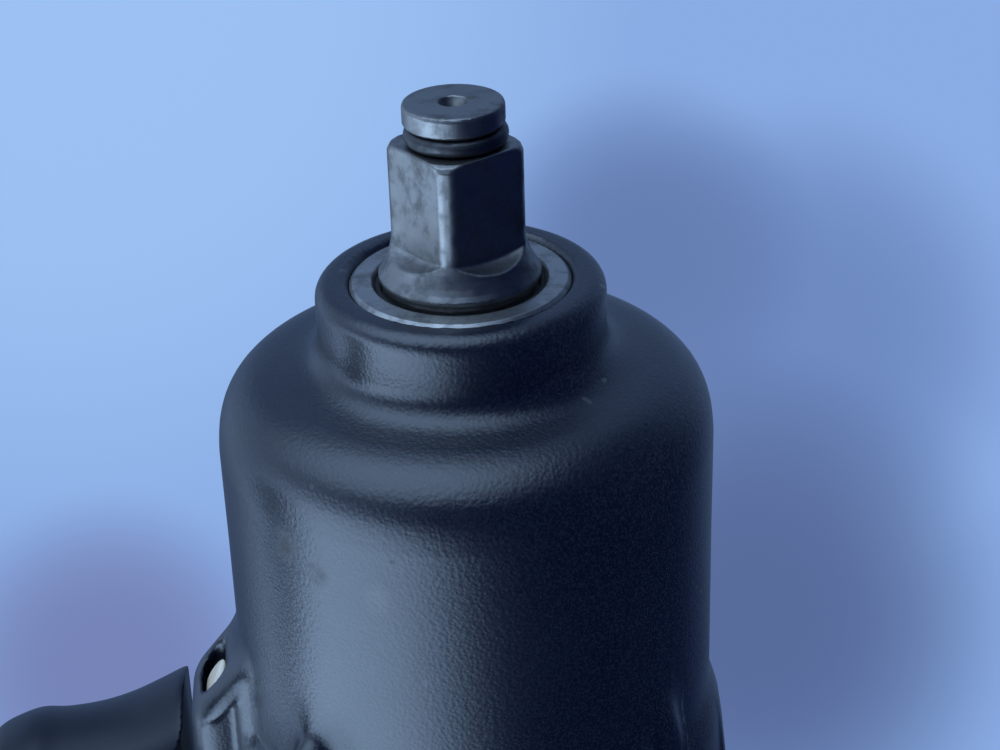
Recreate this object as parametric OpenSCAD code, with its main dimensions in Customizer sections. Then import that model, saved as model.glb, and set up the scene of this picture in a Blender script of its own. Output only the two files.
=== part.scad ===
// Cordless impact wrench with a 12.7 mm square drive, standing on its battery.
// X runs forward along the drive axis, Y to the tool's left and Z up.
// The origin is under the middle of the tool, on the surface it stands on.

/* [Overall] */
// Distance from the middle of the tool to the drive tip and to the rear cap
half_length = 86; // [84:1:90]
// Height of the drive axis above the surface
axis_z = 207; // [204:1:212]

/* [Drive] */
// Size of the square drive across its flats
square_af = 12.7; // [12.5:0.1:12.8]
// Distance from the nose face to the drive tip
drive_reach = 22.4; // [21:0.1:24]
// Radius of the pilot disc at the tip
pilot_r = 6.05; // [5.8:0.05:6.2]
// Radius of the anvil's bearing journal
journal_r = 9.5; // [9.2:0.1:9.7]
// Radius of the flared base in front of the nose
flare_r = 9.8; // [9.5:0.1:10]

/* [Hammer case] */
// Radius of the nose collar
collar_r = 17.8; // [17:0.1:19]
// Outer radius of the hammer case
case_r = 30.8; // [30.4:0.1:31.4]
// Distance from the nose face back to where the case reaches its full radius
shoulder_back = 18.5; // [17:0.5:20]
// Distance from the nose face back to the housing
case_back = 75.5; // [74:0.5:77]
// Outer radius of the nose bushing
bushing_r = 13.6; // [13.2:0.1:14]

/* [Impact mechanism] */
// How far the hammer moves back against its spring
hammer_travel = 9; // [6:0.5:9]
// How far the cam turns the hammer over that travel, in degrees
cam_angle = 38; // [20:1:38]

/* [Motor] */
// Radius of the motor housing
barrel_r = 33.6; // [33:0.1:35]
// Outer radius of the stator
stator_r = 27; // [26:0.5:27]
// Length of the stator
stator_length = 20; // [18:1:20]

/* [Handle] */
// Width of the rubber grip
grip_width = 37; // [36:0.5:40]
// Depth of the rubber grip
grip_depth = 46; // [44:0.5:48]
// Lean of the handle in degrees
grip_lean = 5; // [4:1:6]
// Height of the foot's top face
foot_top = 80; // [78:1:84]

/* [Trigger] */
// Width of the trigger
trigger_width = 22; // [20:0.5:22]
// How far the trigger moves when it is pulled
trigger_travel = 7; // [4:0.5:7]

/* [Battery] */
// Length of the battery
battery_length = 112; // [110:1:114]
// Width of the battery
battery_width = 76; // [74:1:78]
// Height of the battery's two case halves together
battery_height = 54; // [52:1:55]

/* [Hidden] */
$fn = 96;

nose_x = half_length - drive_reach;
case_x = nose_x - case_back;
shoulder_x = nose_x - shoulder_back;

// Clearances
running = 0.05;     // shaft in its bearing or bushing
free = 0.35;        // parts that pass each other
fit = 0.2;          // parts that are fixed to each other

// Anvil, measured forward from the nose face
disc_thickness = 2.35;
groove_front = drive_reach - disc_thickness;
square_front = 17.3;
groove_r = 3.7;
corner_r = 8.13;
flat_end = 5.6;
runout_r = 5.5;
drive_turn = 33;    // the first flat faces this many degrees above straight left
ear_front = -23.8;
ear_back = -32.8;
ear_r = 21.5;
ear_width = 15;
anvil_core_r = 12;
pilot_bore_r = 4.5;

// Hammer and cam shaft, in the tool's own X
cavity_r = 27.5;
cavity_front = nose_x - 22.2;
hammer_r = cavity_r - 0.8;
hammer_front = nose_x + ear_back - 0.6;
hammer_back = hammer_front - 31;
lug_length = 8.2;
lug_span = 38;
shaft_r = 10;
recess_inner_r = 14;
recess_outer_r = 22.6;
recess_floor = hammer_front - 12.5;
thrust_ball_r = 1.6;
cam_ball_r = 2.8;
cam_ball_x = hammer_front - 8;
flange_front = hammer_back - hammer_travel - 2;
flange_thickness = 3;
spring_wire_r = 1.7;
spring_r = 18.3;

// Planetary gear set
gear_module = 0.9;
sun_teeth = 12;
planet_teeth = 18;
ring_teeth = 48;
orbit_r = gear_module * (sun_teeth + planet_teeth) / 2;
gear_front = flange_front - flange_thickness - 0.5;
gear_width = 8;
gear_back = gear_front - gear_width;
rear_plate = 3.2;
rear_plate_back = gear_back - 0.5 - rear_plate;
planet_pin_r = 2.5;
planet_angles = [90, 210, 330];

// Motor, in the tool's own X
spindle_bearing_back = rear_plate_back - 0.5 - 6;
front_bearing_front = spindle_bearing_back - 1.5;
front_bearing_back = front_bearing_front - 6;
motor_shaft_r = 3;
stator_front = front_bearing_back - 3.5;
stator_back = stator_front - stator_length;
winding_overhang = 4.5;
rotor_r = 13.4;
board_front = stator_back - winding_overhang - 0.8;
fan_front = board_front - 2.6;
fan_back = fan_front - 3.8;
rear_bearing_front = fan_back - 0.8;
rear_bearing_back = rear_bearing_front - 4;
cap_front = stator_back - 1;
stator_seat_r = stator_r + fit;

// Rear cap screws, which reach into the barrel's wall
cap_screw_circle = 29;
cap_screw_r = 1.4;
cap_screw_head_r = 2.6;
cap_boss_r = 3.5;
cap_screw_seat = -half_length + 2.8;

// Case screws and their bosses sit around the axis at these Y and Z offsets
boss_y = 24.5;
boss_z = 22;
boss_r = 4.4;
boss_front = nose_x - 50.9;
case_screw_r = 2;
flare_start = nose_x - 59;
flare_end = nose_x - 73;

// LED ledge under the case
ledge_front = nose_x - 50;
ledge_drop = 38;
ledge_width = 20;
ledge_slope = 8;
led_x = ledge_front - 6;
led_width = 11;

// Handle and foot
grip_x = -38;
core_width = grip_width - 3.6;
core_depth = grip_depth - 3.6;
wall = 2.6;
foot_front = 30;
foot_back = -68;
foot_width = 72;
foot_bottom = battery_height + 0.5;
grip_top = axis_z - 70;
throat_width = 30;

// Trigger, in height below the axis
trigger_top = axis_z - 38.8;
trigger_bottom = axis_z - 66.5;
trigger_front = nose_x - 57;
trigger_back = -14;

// Direction selector, across the handle above the switch
selector_back = -40;

// Battery
battery_back = -76;
battery_front = battery_back + battery_length;
battery_split = 27;
rail_neck = 42;
rail_head = 50;
rail_gap = 0.4;
cell_r = 9.1;
cell_length = 65;
cell_pitch = 18.5;

// Housing screws, each an X and a Z
housing_screw_spots = [[-58, foot_top - 8], [22, foot_top - 9], [-40, foot_top + 20]];

function arc(cx, cy, r, from, to, steps) = [
    for (i = [0:steps])
        let (a = from + (to - from) * i / steps)
        [cx + r * cos(a), cy + r * sin(a)]
];

// Involute angle in degrees for a pressure angle
function involute(a) = tan(a) * 180 / PI - a;

// Outline of a gear; play widens (+) or narrows (-) each tooth by that angle
function gear_outline(teeth, root_r, tip_r, play) =
    let (pitch_r = gear_module * teeth / 2,
         pressure = 25,
         base_r = pitch_r * cos(pressure),
         steps = 4,
         radii = [for (i = [0:steps]) root_r + (tip_r - root_r) * i / steps],
         halves = [for (r = radii)
             90 / teeth + play + involute(pressure) - involute(acos(base_r / max(r, base_r)))])
    [for (t = [0:teeth - 1], side = [-1, 1], i = [0:steps])
        let (k = side < 0 ? i : steps - i,
             a = 360 * t / teeth + side * halves[k])
        radii[k] * [cos(a), sin(a)]
    ];

// Children drawn along +Z are laid along +X on the drive axis; x is their start
module on_axis(x = 0) translate([x, 0, axis_z]) rotate([0, 90, 0]) children();

// Solid of revolution about the drive axis from [radius, x] points
module turned(points) on_axis() rotate_extrude() polygon(points);

module rod(x, length, r) on_axis(x) cylinder(h = length, r = r);

module ring(x, length, outer_r, inner_r)
    difference() {
        rod(x, length, outer_r);
        rod(x - 1, length + 2, inner_r);
    }

// Ball bearing that fills length from x, with its balls between two races
module bearing(x, length, outer_r, inner_r, balls) {
    middle_r = (outer_r + inner_r) / 2;
    race = (outer_r - inner_r) * 0.3;
    ring(x, length, outer_r, outer_r - race);
    ring(x, length, inner_r + race, inner_r);
    for (i = [0:balls - 1])
        on_axis(x + length / 2) rotate(360 * i / balls) translate([middle_r, 0, 0])
            sphere(r = (outer_r - inner_r) * 0.19);
}

module box(low, high) translate(low) cube(high - low);

// Box with its four upright edges rounded
module rounded_box(low, high, r)
    translate([0, 0, low.z]) linear_extrude(high.z - low.z) {
        translate([low.x + r, low.y]) square([high.x - low.x - 2 * r, high.y - low.y]);
        translate([low.x, low.y + r]) square([high.x - low.x, high.y - low.y - 2 * r]);
        for (x = [low.x + r, high.x - r], y = [low.y + r, high.y - r])
            translate([x, y]) circle(r);
    }

// Upright oval column that leans with the handle; its foot is at the foot's top face
module handle_column(depth, width, z_from, z_to)
    translate([grip_x, 0, foot_top]) rotate([0, grip_lean, 0])
        translate([0, 0, z_from]) linear_extrude(z_to - z_from) {
            square([depth - width, width], center = true);
            for (x = [-1, 1] * (depth - width) / 2) translate([x, 0]) circle(width / 2);
        }

// ---- Anvil body ----

module anvil_outline() turned([
    [0, nose_x + ear_back], [anvil_core_r, nose_x + ear_back], [anvil_core_r, nose_x + ear_front],
    [journal_r, nose_x + ear_front], [journal_r, nose_x - 0.3], [flare_r, nose_x + 0.2],
    [flare_r, nose_x + 1.6], [flare_r - 0.5, nose_x + 2.8],
    each arc(corner_r + 4, nose_x + 6.2, 4, 230, 180, 5),
    [corner_r, nose_x + square_front - 0.5], [corner_r - 0.5, nose_x + square_front],
    [groove_r, nose_x + square_front], [groove_r, nose_x + groove_front],
    [pilot_r - 0.25, nose_x + groove_front], [pilot_r, nose_x + groove_front + 0.25],
    [pilot_r, nose_x + drive_reach - 0.3], [pilot_r - 0.3, nose_x + drive_reach],
    [0, nose_x + drive_reach]
]);

// What a cutter takes off to leave one flat, with its curved run-out
module flat_cut()
    translate([0, corner_r + 4, 0]) rotate([90, 0, 90])
        linear_extrude(4 * corner_r, center = true)
            polygon([
                [square_af / 2 - corner_r - 4, square_front + 1],
                each arc(square_af / 2 - corner_r - 4 + runout_r, flat_end, runout_r, 180, 262, 8),
                [20, flat_end - runout_r], [20, square_front + 1]
            ]);

module anvil() color([0.62, 0.61, 0.6]) difference() {
    union() {
        anvil_outline();
        intersection() {
            rod(nose_x + ear_back, ear_front - ear_back, ear_r);
            box([nose_x + ear_back - 1, -ear_width / 2, axis_z - ear_r - 1],
                [nose_x + ear_front + 1, ear_width / 2, axis_z + ear_r + 1]);
        }
    }
    for (i = [0:3]) on_axis(nose_x) rotate(drive_turn + 90 * i) flat_cut();
    rod(nose_x + ear_back - 1, 9, pilot_bore_r);
    on_axis(nose_x + drive_reach - 3) cylinder(h = 3.01, r1 = 0.6, r2 = 1.58);
}

module friction_ring() color([0.5, 0.5, 0.5]) difference() {
    turned([
        [pilot_r - 1.3, nose_x + 18], [pilot_r - 0.25, nose_x + 18], [pilot_r + 0.2, nose_x + 18.45],
        [pilot_r + 0.2, nose_x + 19.25], [pilot_r - 0.25, nose_x + 19.7], [pilot_r - 1.3, nose_x + 19.7]
    ]);
    box([nose_x + 17, -0.6, axis_z - 10], [nose_x + 20, 0.6, axis_z]);
}

module ring_cushion() color([0.05, 0.05, 0.05])
    on_axis(nose_x + 18.85) rotate_extrude() translate([groove_r + 0.5, 0]) circle(0.48, $fn = 24);

// ---- Nose ----

module nose_bushing() color([0.6, 0.6, 0.62]) turned([
    [journal_r + running, nose_x - 22], [bushing_r, nose_x - 22], [bushing_r, nose_x - 0.6],
    [bushing_r - 0.45, nose_x - 0.1], [journal_r + 1, nose_x - 0.1], [journal_r + 1, nose_x - 2.4],
    [journal_r + running, nose_x - 2.4]
]);

module nose_seal() color([0.04, 0.04, 0.04])
    ring(nose_x - 2.4, 1.8, journal_r + 0.98, journal_r + running);

module anvil_washer() color([0.7, 0.65, 0.5])
    ring(nose_x + ear_front + 0.2, 1.3, bushing_r, journal_r + running);

// Hollows of the case: bushing seat, mechanism room and open rear skirt
module case_hollow() turned([
    [0, case_x - 16.5], [cavity_r, case_x - 16.5], [cavity_r, cavity_front - 6],
    each arc(cavity_r - 6, cavity_front - 6, 6, 0, 90, 6),
    [bushing_r, cavity_front], [bushing_r, nose_x - 0.8], [bushing_r + 0.6, nose_x - 0.2],
    [bushing_r + 0.6, nose_x + 1], [0, nose_x + 1]
]);

module case_shell() turned([
    [0, case_x - 16], [case_r - 0.5, case_x - 16], [case_r - 0.5, case_x],
    [barrel_r, case_x], [barrel_r, flare_end], [barrel_r - 0.8, flare_end + 4],
    [case_r + 0.6, flare_start - 3], [case_r, flare_start], [case_r, shoulder_x],
    each arc(case_r - 9, shoulder_x, 9, 10, 60, 5),
    each arc(collar_r + 4, nose_x - 8.2, 4, 250, 180, 5),
    each arc(collar_r - 2.4, nose_x - 2.4, 2.4, 0, 90, 6),
    [0, nose_x]
]);

// Boss for a case screw, with a domed front
module case_boss(y, z) translate([0, y, z]) {
    rod(case_x, boss_front - boss_r - case_x, boss_r);
    on_axis(boss_front - boss_r) sphere(r = boss_r);
}

// Thin gusset beside an upper boss, rising from the case to the flare
module case_gusset(angle) on_axis() rotate(angle) translate([0, 1, 0]) rotate([90, 0, 0])
    linear_extrude(2) polygon([
        [case_r - 1, boss_front + 1], [barrel_r, flare_start - 1.5], [barrel_r, case_x], [case_r - 1, case_x]
    ]);

module led_ledge() {
    intersection() {
        translate([0, ledge_width / 2, axis_z]) rotate([90, 0, 0]) linear_extrude(ledge_width)
            polygon([
                [case_x, -case_r + 6], [ledge_front + 4, -case_r + 6], [ledge_front, -case_r - 0.6],
                [ledge_front - ledge_slope, -ledge_drop], [case_x, -ledge_drop]
            ]);
        rounded_box([case_x, -ledge_width / 2, axis_z - ledge_drop], [ledge_front + 4, ledge_width / 2, axis_z], 5);
    }
}

module led_pocket(grow)
    box([led_x - 9 - grow, -led_width / 2 - grow, axis_z - ledge_drop + 1 - grow],
        [led_x + 6, led_width / 2 + grow, axis_z - case_r - 1 + grow]);

module hammer_case() color([0.06, 0.065, 0.075]) difference() {
    union() {
        case_shell();
        for (y = [-1, 1] * boss_y, z = [-1, 1] * boss_z) case_boss(y, z);
        for (side = [-1, 1]) case_gusset(180 + 35 * side);
        led_ledge();
    }
    case_hollow();
    led_pocket(0);
    for (y = [-1, 1] * boss_y, z = [-1, 1] * boss_z)
        translate([0, y, z]) rod(case_x - 1, 16, case_screw_r);
}

module case_screws() color([0.15, 0.15, 0.16])
    for (y = [-1, 1] * boss_y, z = [-1, 1] * boss_z) translate([0, y, z]) {
        rod(case_x - 28, 28 + 13, case_screw_r - 0.02);
        difference() {
            rod(case_x - 31.5, 3.5, 3.4);
            rod(case_x - 32, 2.5, 1.5, $fn = 6);
        }
    }

// ---- Hammer body ----

// Positions of the cam ball in a part that it has moved through, as [x, angle]
function cam_path(steps) = [for (i = [0:steps]) [hammer_travel * i / steps, cam_angle * i / steps]];

module cam_pocket(x, angle, r, depth)
    on_axis(x) rotate(angle) translate([shaft_r - depth, 0, 0]) rotate([0, 90, 0])
        cylinder(h = 2 * depth, r = r);

module hammer() color([0.3, 0.3, 0.31]) difference() {
    union() {
        rod(hammer_back, hammer_front - hammer_back, hammer_r);
        for (side = [0, 180])
            on_axis(hammer_front - 1) rotate(side + 90 - lug_span / 2)
                rotate_extrude(angle = lug_span)
                    translate([anvil_core_r + 0.8, 0]) square([hammer_r - anvil_core_r - 0.8, lug_length + 1]);
    }
    rod(hammer_back - 1, hammer_front - hammer_back + 2, shaft_r + running);
    difference() {
        rod(hammer_back - 1, recess_floor - hammer_back + 1, recess_outer_r);
        rod(hammer_back - 2, recess_floor - hammer_back + 4, recess_inner_r);
    }
    for (side = [0, 180], p = cam_path(6))
        cam_pocket(cam_ball_x + p.x, side + p.y, cam_ball_r + 0.3, 3.4);
}

module spring_washer() color([0.55, 0.55, 0.55])
    ring(recess_floor - 2 * thrust_ball_r - 1.6, 1.5, recess_outer_r - 0.5, recess_inner_r + 0.5);

module thrust_balls() color([0.7, 0.7, 0.7])
    for (i = [0:23])
        on_axis(recess_floor - thrust_ball_r - 0.05) rotate(15 * i) translate([spring_r, 0, 0])
            sphere(r = thrust_ball_r);

// Coil from the spring seat to the spring washer, as short straight runs with round joints
module impact_spring() color([0.35, 0.35, 0.37]) {
    start = flange_front + 1.6 + spring_wire_r;
    finish = recess_floor - 2 * thrust_ball_r - 1.7 - spring_wire_r;
    turns = 4;
    steps = 20;
    sides = 8;
    count = turns * steps;
    points = [for (i = [0:count], s = [0:sides - 1])
        let (a = 360 * i / steps,
             b = 360 * s / sides,
             r = spring_r + spring_wire_r * cos(b))
        [start + (finish - start) * i / count + spring_wire_r * sin(b), r * sin(a), r * cos(a)]];
    walls = [for (i = [0:count - 1], s = [0:sides - 1])
        let (a = i * sides, b = (i + 1) * sides, n = (s + 1) % sides)
        [a + s, a + n, b + n, b + s]];
    caps = [[for (s = [0:sides - 1]) sides - 1 - s], [for (s = [0:sides - 1]) count * sides + s]];
    translate([0, 0, axis_z]) polyhedron(points, concat(walls, caps));
}

// ---- Spindle body ----

module cam_shaft() color([0.5, 0.5, 0.52]) difference() {
    union() {
        rod(flange_front, nose_x + ear_back - 0.3 - flange_front, shaft_r);
        rod(nose_x + ear_back - 1, 8, pilot_bore_r - running);
        rod(flange_front - flange_thickness, flange_thickness, cavity_r - 3);
        rod(rear_plate_back, rear_plate, orbit_r + 6.5);
        for (a = planet_angles) on_axis(rear_plate_back) rotate(a + 60) translate([orbit_r + 2.6, 0, 0])
            cylinder(h = flange_front - 1 - rear_plate_back, r = 3.2);
        rod(spindle_bearing_back, rear_plate_back + 1 - spindle_bearing_back, shaft_r);
    }
    rod(spindle_bearing_back - 1, gear_front + 2 - spindle_bearing_back, 6.6);
    for (side = [0, 180], way = [-1, 1], p = cam_path(6))
        cam_pocket(cam_ball_x - p.x, side + way * p.y, cam_ball_r + 0.02, 2.9);
    for (a = planet_angles) on_axis(rear_plate_back - 1) rotate(a) translate([orbit_r, 0, 0])
        cylinder(h = flange_front - rear_plate_back, r = planet_pin_r);
}

module cam_balls() color([0.75, 0.75, 0.75])
    for (side = [0, 180]) on_axis(cam_ball_x) rotate(side) translate([shaft_r, 0, 0]) sphere(r = cam_ball_r);

module spring_seat() color([0.5, 0.5, 0.5])
    ring(flange_front, 1.5, recess_outer_r - 0.5, recess_inner_r + 0.5);

module planet_pins() color([0.6, 0.6, 0.62])
    for (a = planet_angles) on_axis(rear_plate_back) rotate(a) translate([orbit_r, 0, 0])
        cylinder(h = flange_front - 1 - rear_plate_back, r = planet_pin_r - 0.01);

module planet_gear(i) color([0.55, 0.55, 0.56])
    on_axis(gear_back) rotate(planet_angles[i]) translate([orbit_r, 0, 0]) rotate(170) difference() {
        linear_extrude(gear_width)
            polygon(gear_outline(planet_teeth, 7.1, 8.8, -0.9));
        translate([0, 0, -1]) cylinder(h = gear_width + 2, r = planet_pin_r + running);
    }

module ring_gear() color([0.5, 0.5, 0.5]) difference() {
    rod(gear_back - 1, gear_width + 1.3, cavity_r - 0.1);
    on_axis(gear_back - 2) rotate(3.75) linear_extrude(gear_width + 4)
        polygon(gear_outline(ring_teeth, 20.9, 22.7, 0.3));
}

// ---- Gear plate and motor ----

module gear_plate() color([0.25, 0.25, 0.26]) difference() {
    union() {
        rod(rear_plate_back - 0.6, gear_back - 1.2 - rear_plate_back + 0.6, cavity_r - 0.1);
        rod(spindle_bearing_back - 1, rear_plate_back - spindle_bearing_back + 2, 18.5);
        rod(front_bearing_back, front_bearing_front - front_bearing_back + 1, 12);
    }
    rod(rear_plate_back - 0.2, 20, orbit_r + 7);
    rod(spindle_bearing_back, rear_plate_back - spindle_bearing_back + 1, 16);
    rod(spindle_bearing_back - 3, 5, 6.4);
    rod(front_bearing_back - 1, front_bearing_front - front_bearing_back + 1, 9.5);
}

module spindle_bearing() color([0.7, 0.7, 0.72]) bearing(spindle_bearing_back, 6, 16, shaft_r + running, 12);

module front_motor_bearing() color([0.7, 0.7, 0.72])
    bearing(front_bearing_back, front_bearing_front - front_bearing_back, 9.5, motor_shaft_r + running, 7);

module rear_motor_bearing() color([0.7, 0.7, 0.72])
    bearing(rear_bearing_back, rear_bearing_front - rear_bearing_back, 8, motor_shaft_r + running, 7);

module motor_shaft() color([0.6, 0.6, 0.6]) {
    rod(rear_bearing_back - 0.5, gear_back - rear_bearing_back, motor_shaft_r);
    on_axis(gear_back - 1) linear_extrude(gear_width + 1.5)
        polygon(gear_outline(sun_teeth, 4.5, 6.0, -1.2));
}

magnet_spots = [45, 135, 225, 315];

module magnet(grow) on_axis(stator_back - grow) translate([rotor_r - 3.4, 0, 0])
    linear_extrude(stator_length + 2 * grow) square([2.4 + grow, 12 + grow], center = true);

module rotor_core() color([0.4, 0.4, 0.42]) difference() {
    rod(stator_back, stator_length, rotor_r);
    rod(stator_back - 1, stator_length + 2, motor_shaft_r);
    for (a = magnet_spots) translate([0, 0, axis_z]) rotate([a, 0, 0]) translate([0, 0, -axis_z]) magnet(0.1);
}

module rotor_magnets() color([0.65, 0.65, 0.68])
    for (a = magnet_spots) translate([0, 0, axis_z]) rotate([a, 0, 0]) translate([0, 0, -axis_z]) magnet(0);

module cooling_fan() color([0.1, 0.1, 0.1]) {
    ring(fan_back, 1.2, 22, motor_shaft_r);
    ring(fan_back, 3.8, 6, motor_shaft_r);
    for (i = [0:10]) on_axis(fan_back + 1) rotate(360 * i / 11) translate([5.5, -0.5, 0]) cube([15.5, 1, 2.8]);
}

slot_angles = [0:60:300];

module stator_core() color([0.45, 0.45, 0.47]) difference() {
    rod(stator_back, stator_length, stator_r);
    rod(stator_back - 1, stator_length + 2, rotor_r + 0.6);
    for (a = slot_angles) on_axis(stator_back - 1) rotate(a) {
        translate([18.2, 0, 0]) linear_extrude(stator_length + 2) square([8.6, 12.6], center = true);
        translate([12, -1, 0]) cube([4, 2, stator_length + 2]);
    }
}

module stator_windings() color([0.72, 0.42, 0.2])
    for (a = slot_angles) on_axis(stator_back - winding_overhang) rotate(a)
        translate([18.6, 0, 0]) linear_extrude(stator_length + 2 * winding_overhang)
            for (side = [-1, 1]) translate([0, 3.1 * side]) square([6.6, 4.8], center = true);

module stator_insulators() color([0.85, 0.85, 0.8])
    for (x = [stator_back - 1.2, stator_front + 0.05]) difference() {
        ring(x, 1.15, stator_r - 1, rotor_r + 1);
        for (a = slot_angles) on_axis(x - 1) rotate(a) translate([18.2, 0, 0])
            linear_extrude(4) square([8.6, 12.6], center = true);
    }

module sensor_board() color([0.1, 0.35, 0.2]) ring(board_front - 1.4, 1.4, 23, 8);

// Children are repeated at the four rear cap screws, with x as their start
module at_cap_screws(x)
    for (a = [45:90:315]) on_axis(x) rotate(a) translate([cap_screw_circle, 0, 0]) children();

module cap_shell_points(r, inset) turned([
    [0, -half_length + inset], [r - 5, -half_length + inset],
    each arc(r - 5, -half_length + inset + 5, 5, 270, 360, 6),
    [r, cap_front], [0, cap_front]
]);

module rear_cap() color([0.08, 0.08, 0.09]) difference() {
    union() {
        difference() {
            cap_shell_points(barrel_r - 0.6, 0);
            difference() {
                cap_shell_points(barrel_r - 3.4, 2.2);
                rod(-half_length, rear_bearing_front + half_length, 10.5);
            }
            rod(cap_front - 0.01, 1, barrel_r - 3.4);
        }
        intersection() {
            cap_shell_points(barrel_r - 0.6, 0);
            at_cap_screws(cap_screw_seat - 1.5) cylinder(h = 30, r = cap_boss_r);
        }
    }
    rod(rear_bearing_back, 10, 8);
    rod(rear_bearing_back - 1, 3, 4.5);
    for (a = [57:11:123], side = [0, 180])
        on_axis(fan_back - 2) rotate(a + side) translate([20, -1.4, 0]) cube([20, 2.8, 8]);
    at_cap_screws(cap_screw_seat - 1) cylinder(h = 30, r = cap_screw_r + 0.05);
    at_cap_screws(-half_length - 1) cylinder(h = cap_screw_seat + half_length + 1, r = cap_screw_head_r + fit);
}

module rear_cap_screws() color([0.15, 0.15, 0.16]) at_cap_screws(cap_screw_seat - 1.5) difference() {
    union() {
        cylinder(h = 1.5, r = cap_screw_head_r);
        cylinder(h = 1.5 + cap_front - cap_screw_seat + 8, r = cap_screw_r);
    }
    translate([0, 0, -1]) cylinder(h = 1.9, r = 1.3, $fn = 6);
}

// ---- Housing ----

// The barrel, handle and foot before they are hollowed
module housing_form() {
    rod(cap_front, case_x - cap_front, barrel_r);
    for (y = [-1, 1] * boss_y, z = [-1, 1] * boss_z)
        translate([0, y, z]) rod(case_x - 34, 34, boss_r + 0.6);
    box([-52, -throat_width / 2, trigger_top + 0.5], [case_x, throat_width / 2, axis_z - 20]);
    intersection() {
        handle_column(core_depth, core_width, -20, 150);
        box([-90, -40, foot_top - 10], [case_x, 40, axis_z - 20]);
    }
    rounded_box([foot_back, -foot_width / 2, foot_bottom], [foot_front, foot_width / 2, foot_top], 10);
}

// The rail channel that the battery's head slides in, open to the front
module rail_channel() {
    box([-62, -rail_neck / 2 - rail_gap, foot_bottom - 1], [foot_front + 1, rail_neck / 2 + rail_gap, foot_bottom + 4]);
    box([-62, -rail_head / 2 - rail_gap, foot_bottom + 2.6], [foot_front + 1, rail_head / 2 + rail_gap, foot_bottom + 8]);
}

module housing_hollow() {
    rod(cap_front - 1, case_x + 2 - cap_front, stator_seat_r);
    rod(case_x - 17, 18, case_r - 0.4);
    for (y = [-1, 1] * boss_y, z = [-1, 1] * boss_z) translate([0, y, z]) {
        rod(case_x - 29, 30, case_screw_r + 0.1);
        rod(case_x - 40, 12, 3.6);
    }
    intersection() {
        handle_column(core_depth - 2 * wall, core_width - 2 * wall, -20, 150);
        box([-90, -40, foot_top - 12], [50, 40, axis_z - 26]);
    }
    box([-24, -trigger_width / 2 - free, trigger_bottom - 0.6], [12, trigger_width / 2 + free, trigger_top + 0.3]);
    rounded_box([foot_back + wall, -foot_width / 2 + wall, foot_bottom + 10.5],
                [foot_front - wall, foot_width / 2 - wall, foot_top - wall], 8);
    rail_channel();
    terminal_seat(fit);
    box([selector_back - 0.4, -grip_width, axis_z - 44.5], [selector_back + 13.6, grip_width, axis_z - 37.5]);
    box([-6, -9, foot_top - 5], [18, 9, foot_top + 1]);
}

module screw_post(x, z, y_to)
    translate([x, 0, z]) rotate([-90, 0, 0]) cylinder(h = y_to, r = 3.2);

module screw_hole(x, z, r, y_from, y_to)
    translate([x, y_from, z]) rotate([-90, 0, 0]) cylinder(h = y_to - y_from, r = r);

// One half of the housing; side is +1 for the left and -1 for the right
module housing_half(side) difference() {
    union() {
        intersection() {
            difference() {
                housing_form();
                housing_hollow();
            }
            box([-100, min(0, side * 60), 0], [100, max(0, side * 60), axis_z + 60]);
        }
        intersection() {
            housing_form();
            for (p = housing_screw_spots)
                mirror([0, side < 0 ? 1 : 0, 0]) screw_post(p.x, p.y, 40);
        }
    }
    rail_channel();
    at_cap_screws(cap_front - 1) cylinder(h = 9.5, r = cap_screw_r + 0.05);
    for (p = housing_screw_spots) {
        screw_hole(p.x, p.y, 1.5, -50, 11);
        screw_hole(p.x, p.y, 3.0, -50, -13);
    }
    for (end = [-1, 1]) translate([-48, end * 40, foot_bottom + 12]) rotate([90, 0, 0])
        cylinder(h = 30, r = 3, center = true);
}

module housing_left() color([0.75, 0.2, 0.08]) housing_half(1);

module housing_right() color([0.75, 0.2, 0.08]) housing_half(-1);

module housing_screws() color([0.15, 0.15, 0.16])
    for (p = housing_screw_spots) difference() {
        union() {
            screw_hole(p.x, p.y, 1.45, -14, 10.5);
            screw_hole(p.x, p.y, 2.8, -15, -13);
        }
        translate([p.x, -14, p.y]) rotate([90, 0, 0]) cylinder(h = 2, r = 1.2, $fn = 6);
    }

// Rubber skin on one side of the handle, below the trigger
module grip_half(side) difference() {
    intersection() {
        handle_column(grip_depth, grip_width, 1, grip_top - foot_top - 2);
        box([-90, min(0, side * 60), foot_top + fit], [50, max(0, side * 60), grip_top]);
    }
    handle_column(core_depth + 0.1, core_width + 0.1, -1, 150);
}

module grip_left() color([0.06, 0.06, 0.065]) grip_half(1);

module grip_right() color([0.06, 0.06, 0.065]) grip_half(-1);

// ---- Lamp, trigger and controls ----

module led_lens() color([0.95, 0.92, 0.8]) intersection() {
    led_pocket(-0.1);
    translate([0, led_width / 2, axis_z]) rotate([90, 0, 0]) linear_extrude(led_width)
        polygon([
            [ledge_front - 9, -ledge_drop], [ledge_front - 0.8, -case_r - 1],
            [ledge_front - 4, -case_r + 1], [ledge_front - 13, -ledge_drop + 1]
        ]);
}

module led_board() color([0.1, 0.35, 0.2])
    box([led_x - 8.5, -led_width / 2 + 0.2, axis_z - ledge_drop + 1.2], [led_x - 7, led_width / 2 - 0.2, axis_z - case_r - 1.4]);

// Side profile of the trigger: hooked top, hollow front, rounded lower end
module trigger_profile() polygon([
    [trigger_back, trigger_bottom + 3], [trigger_back, trigger_top],
    [trigger_front - 2.5, trigger_top], [trigger_front, trigger_top - 0.8],
    [trigger_front - 0.4, trigger_top - 2],
    each arc(trigger_front + 11.4, trigger_top - 16.2, 16.4, 123, 196, 8),
    [trigger_front - 5.6, trigger_bottom + 2.6], [trigger_front - 8, trigger_bottom + 0.2],
    [trigger_front - 10, trigger_bottom]
]);

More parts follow.
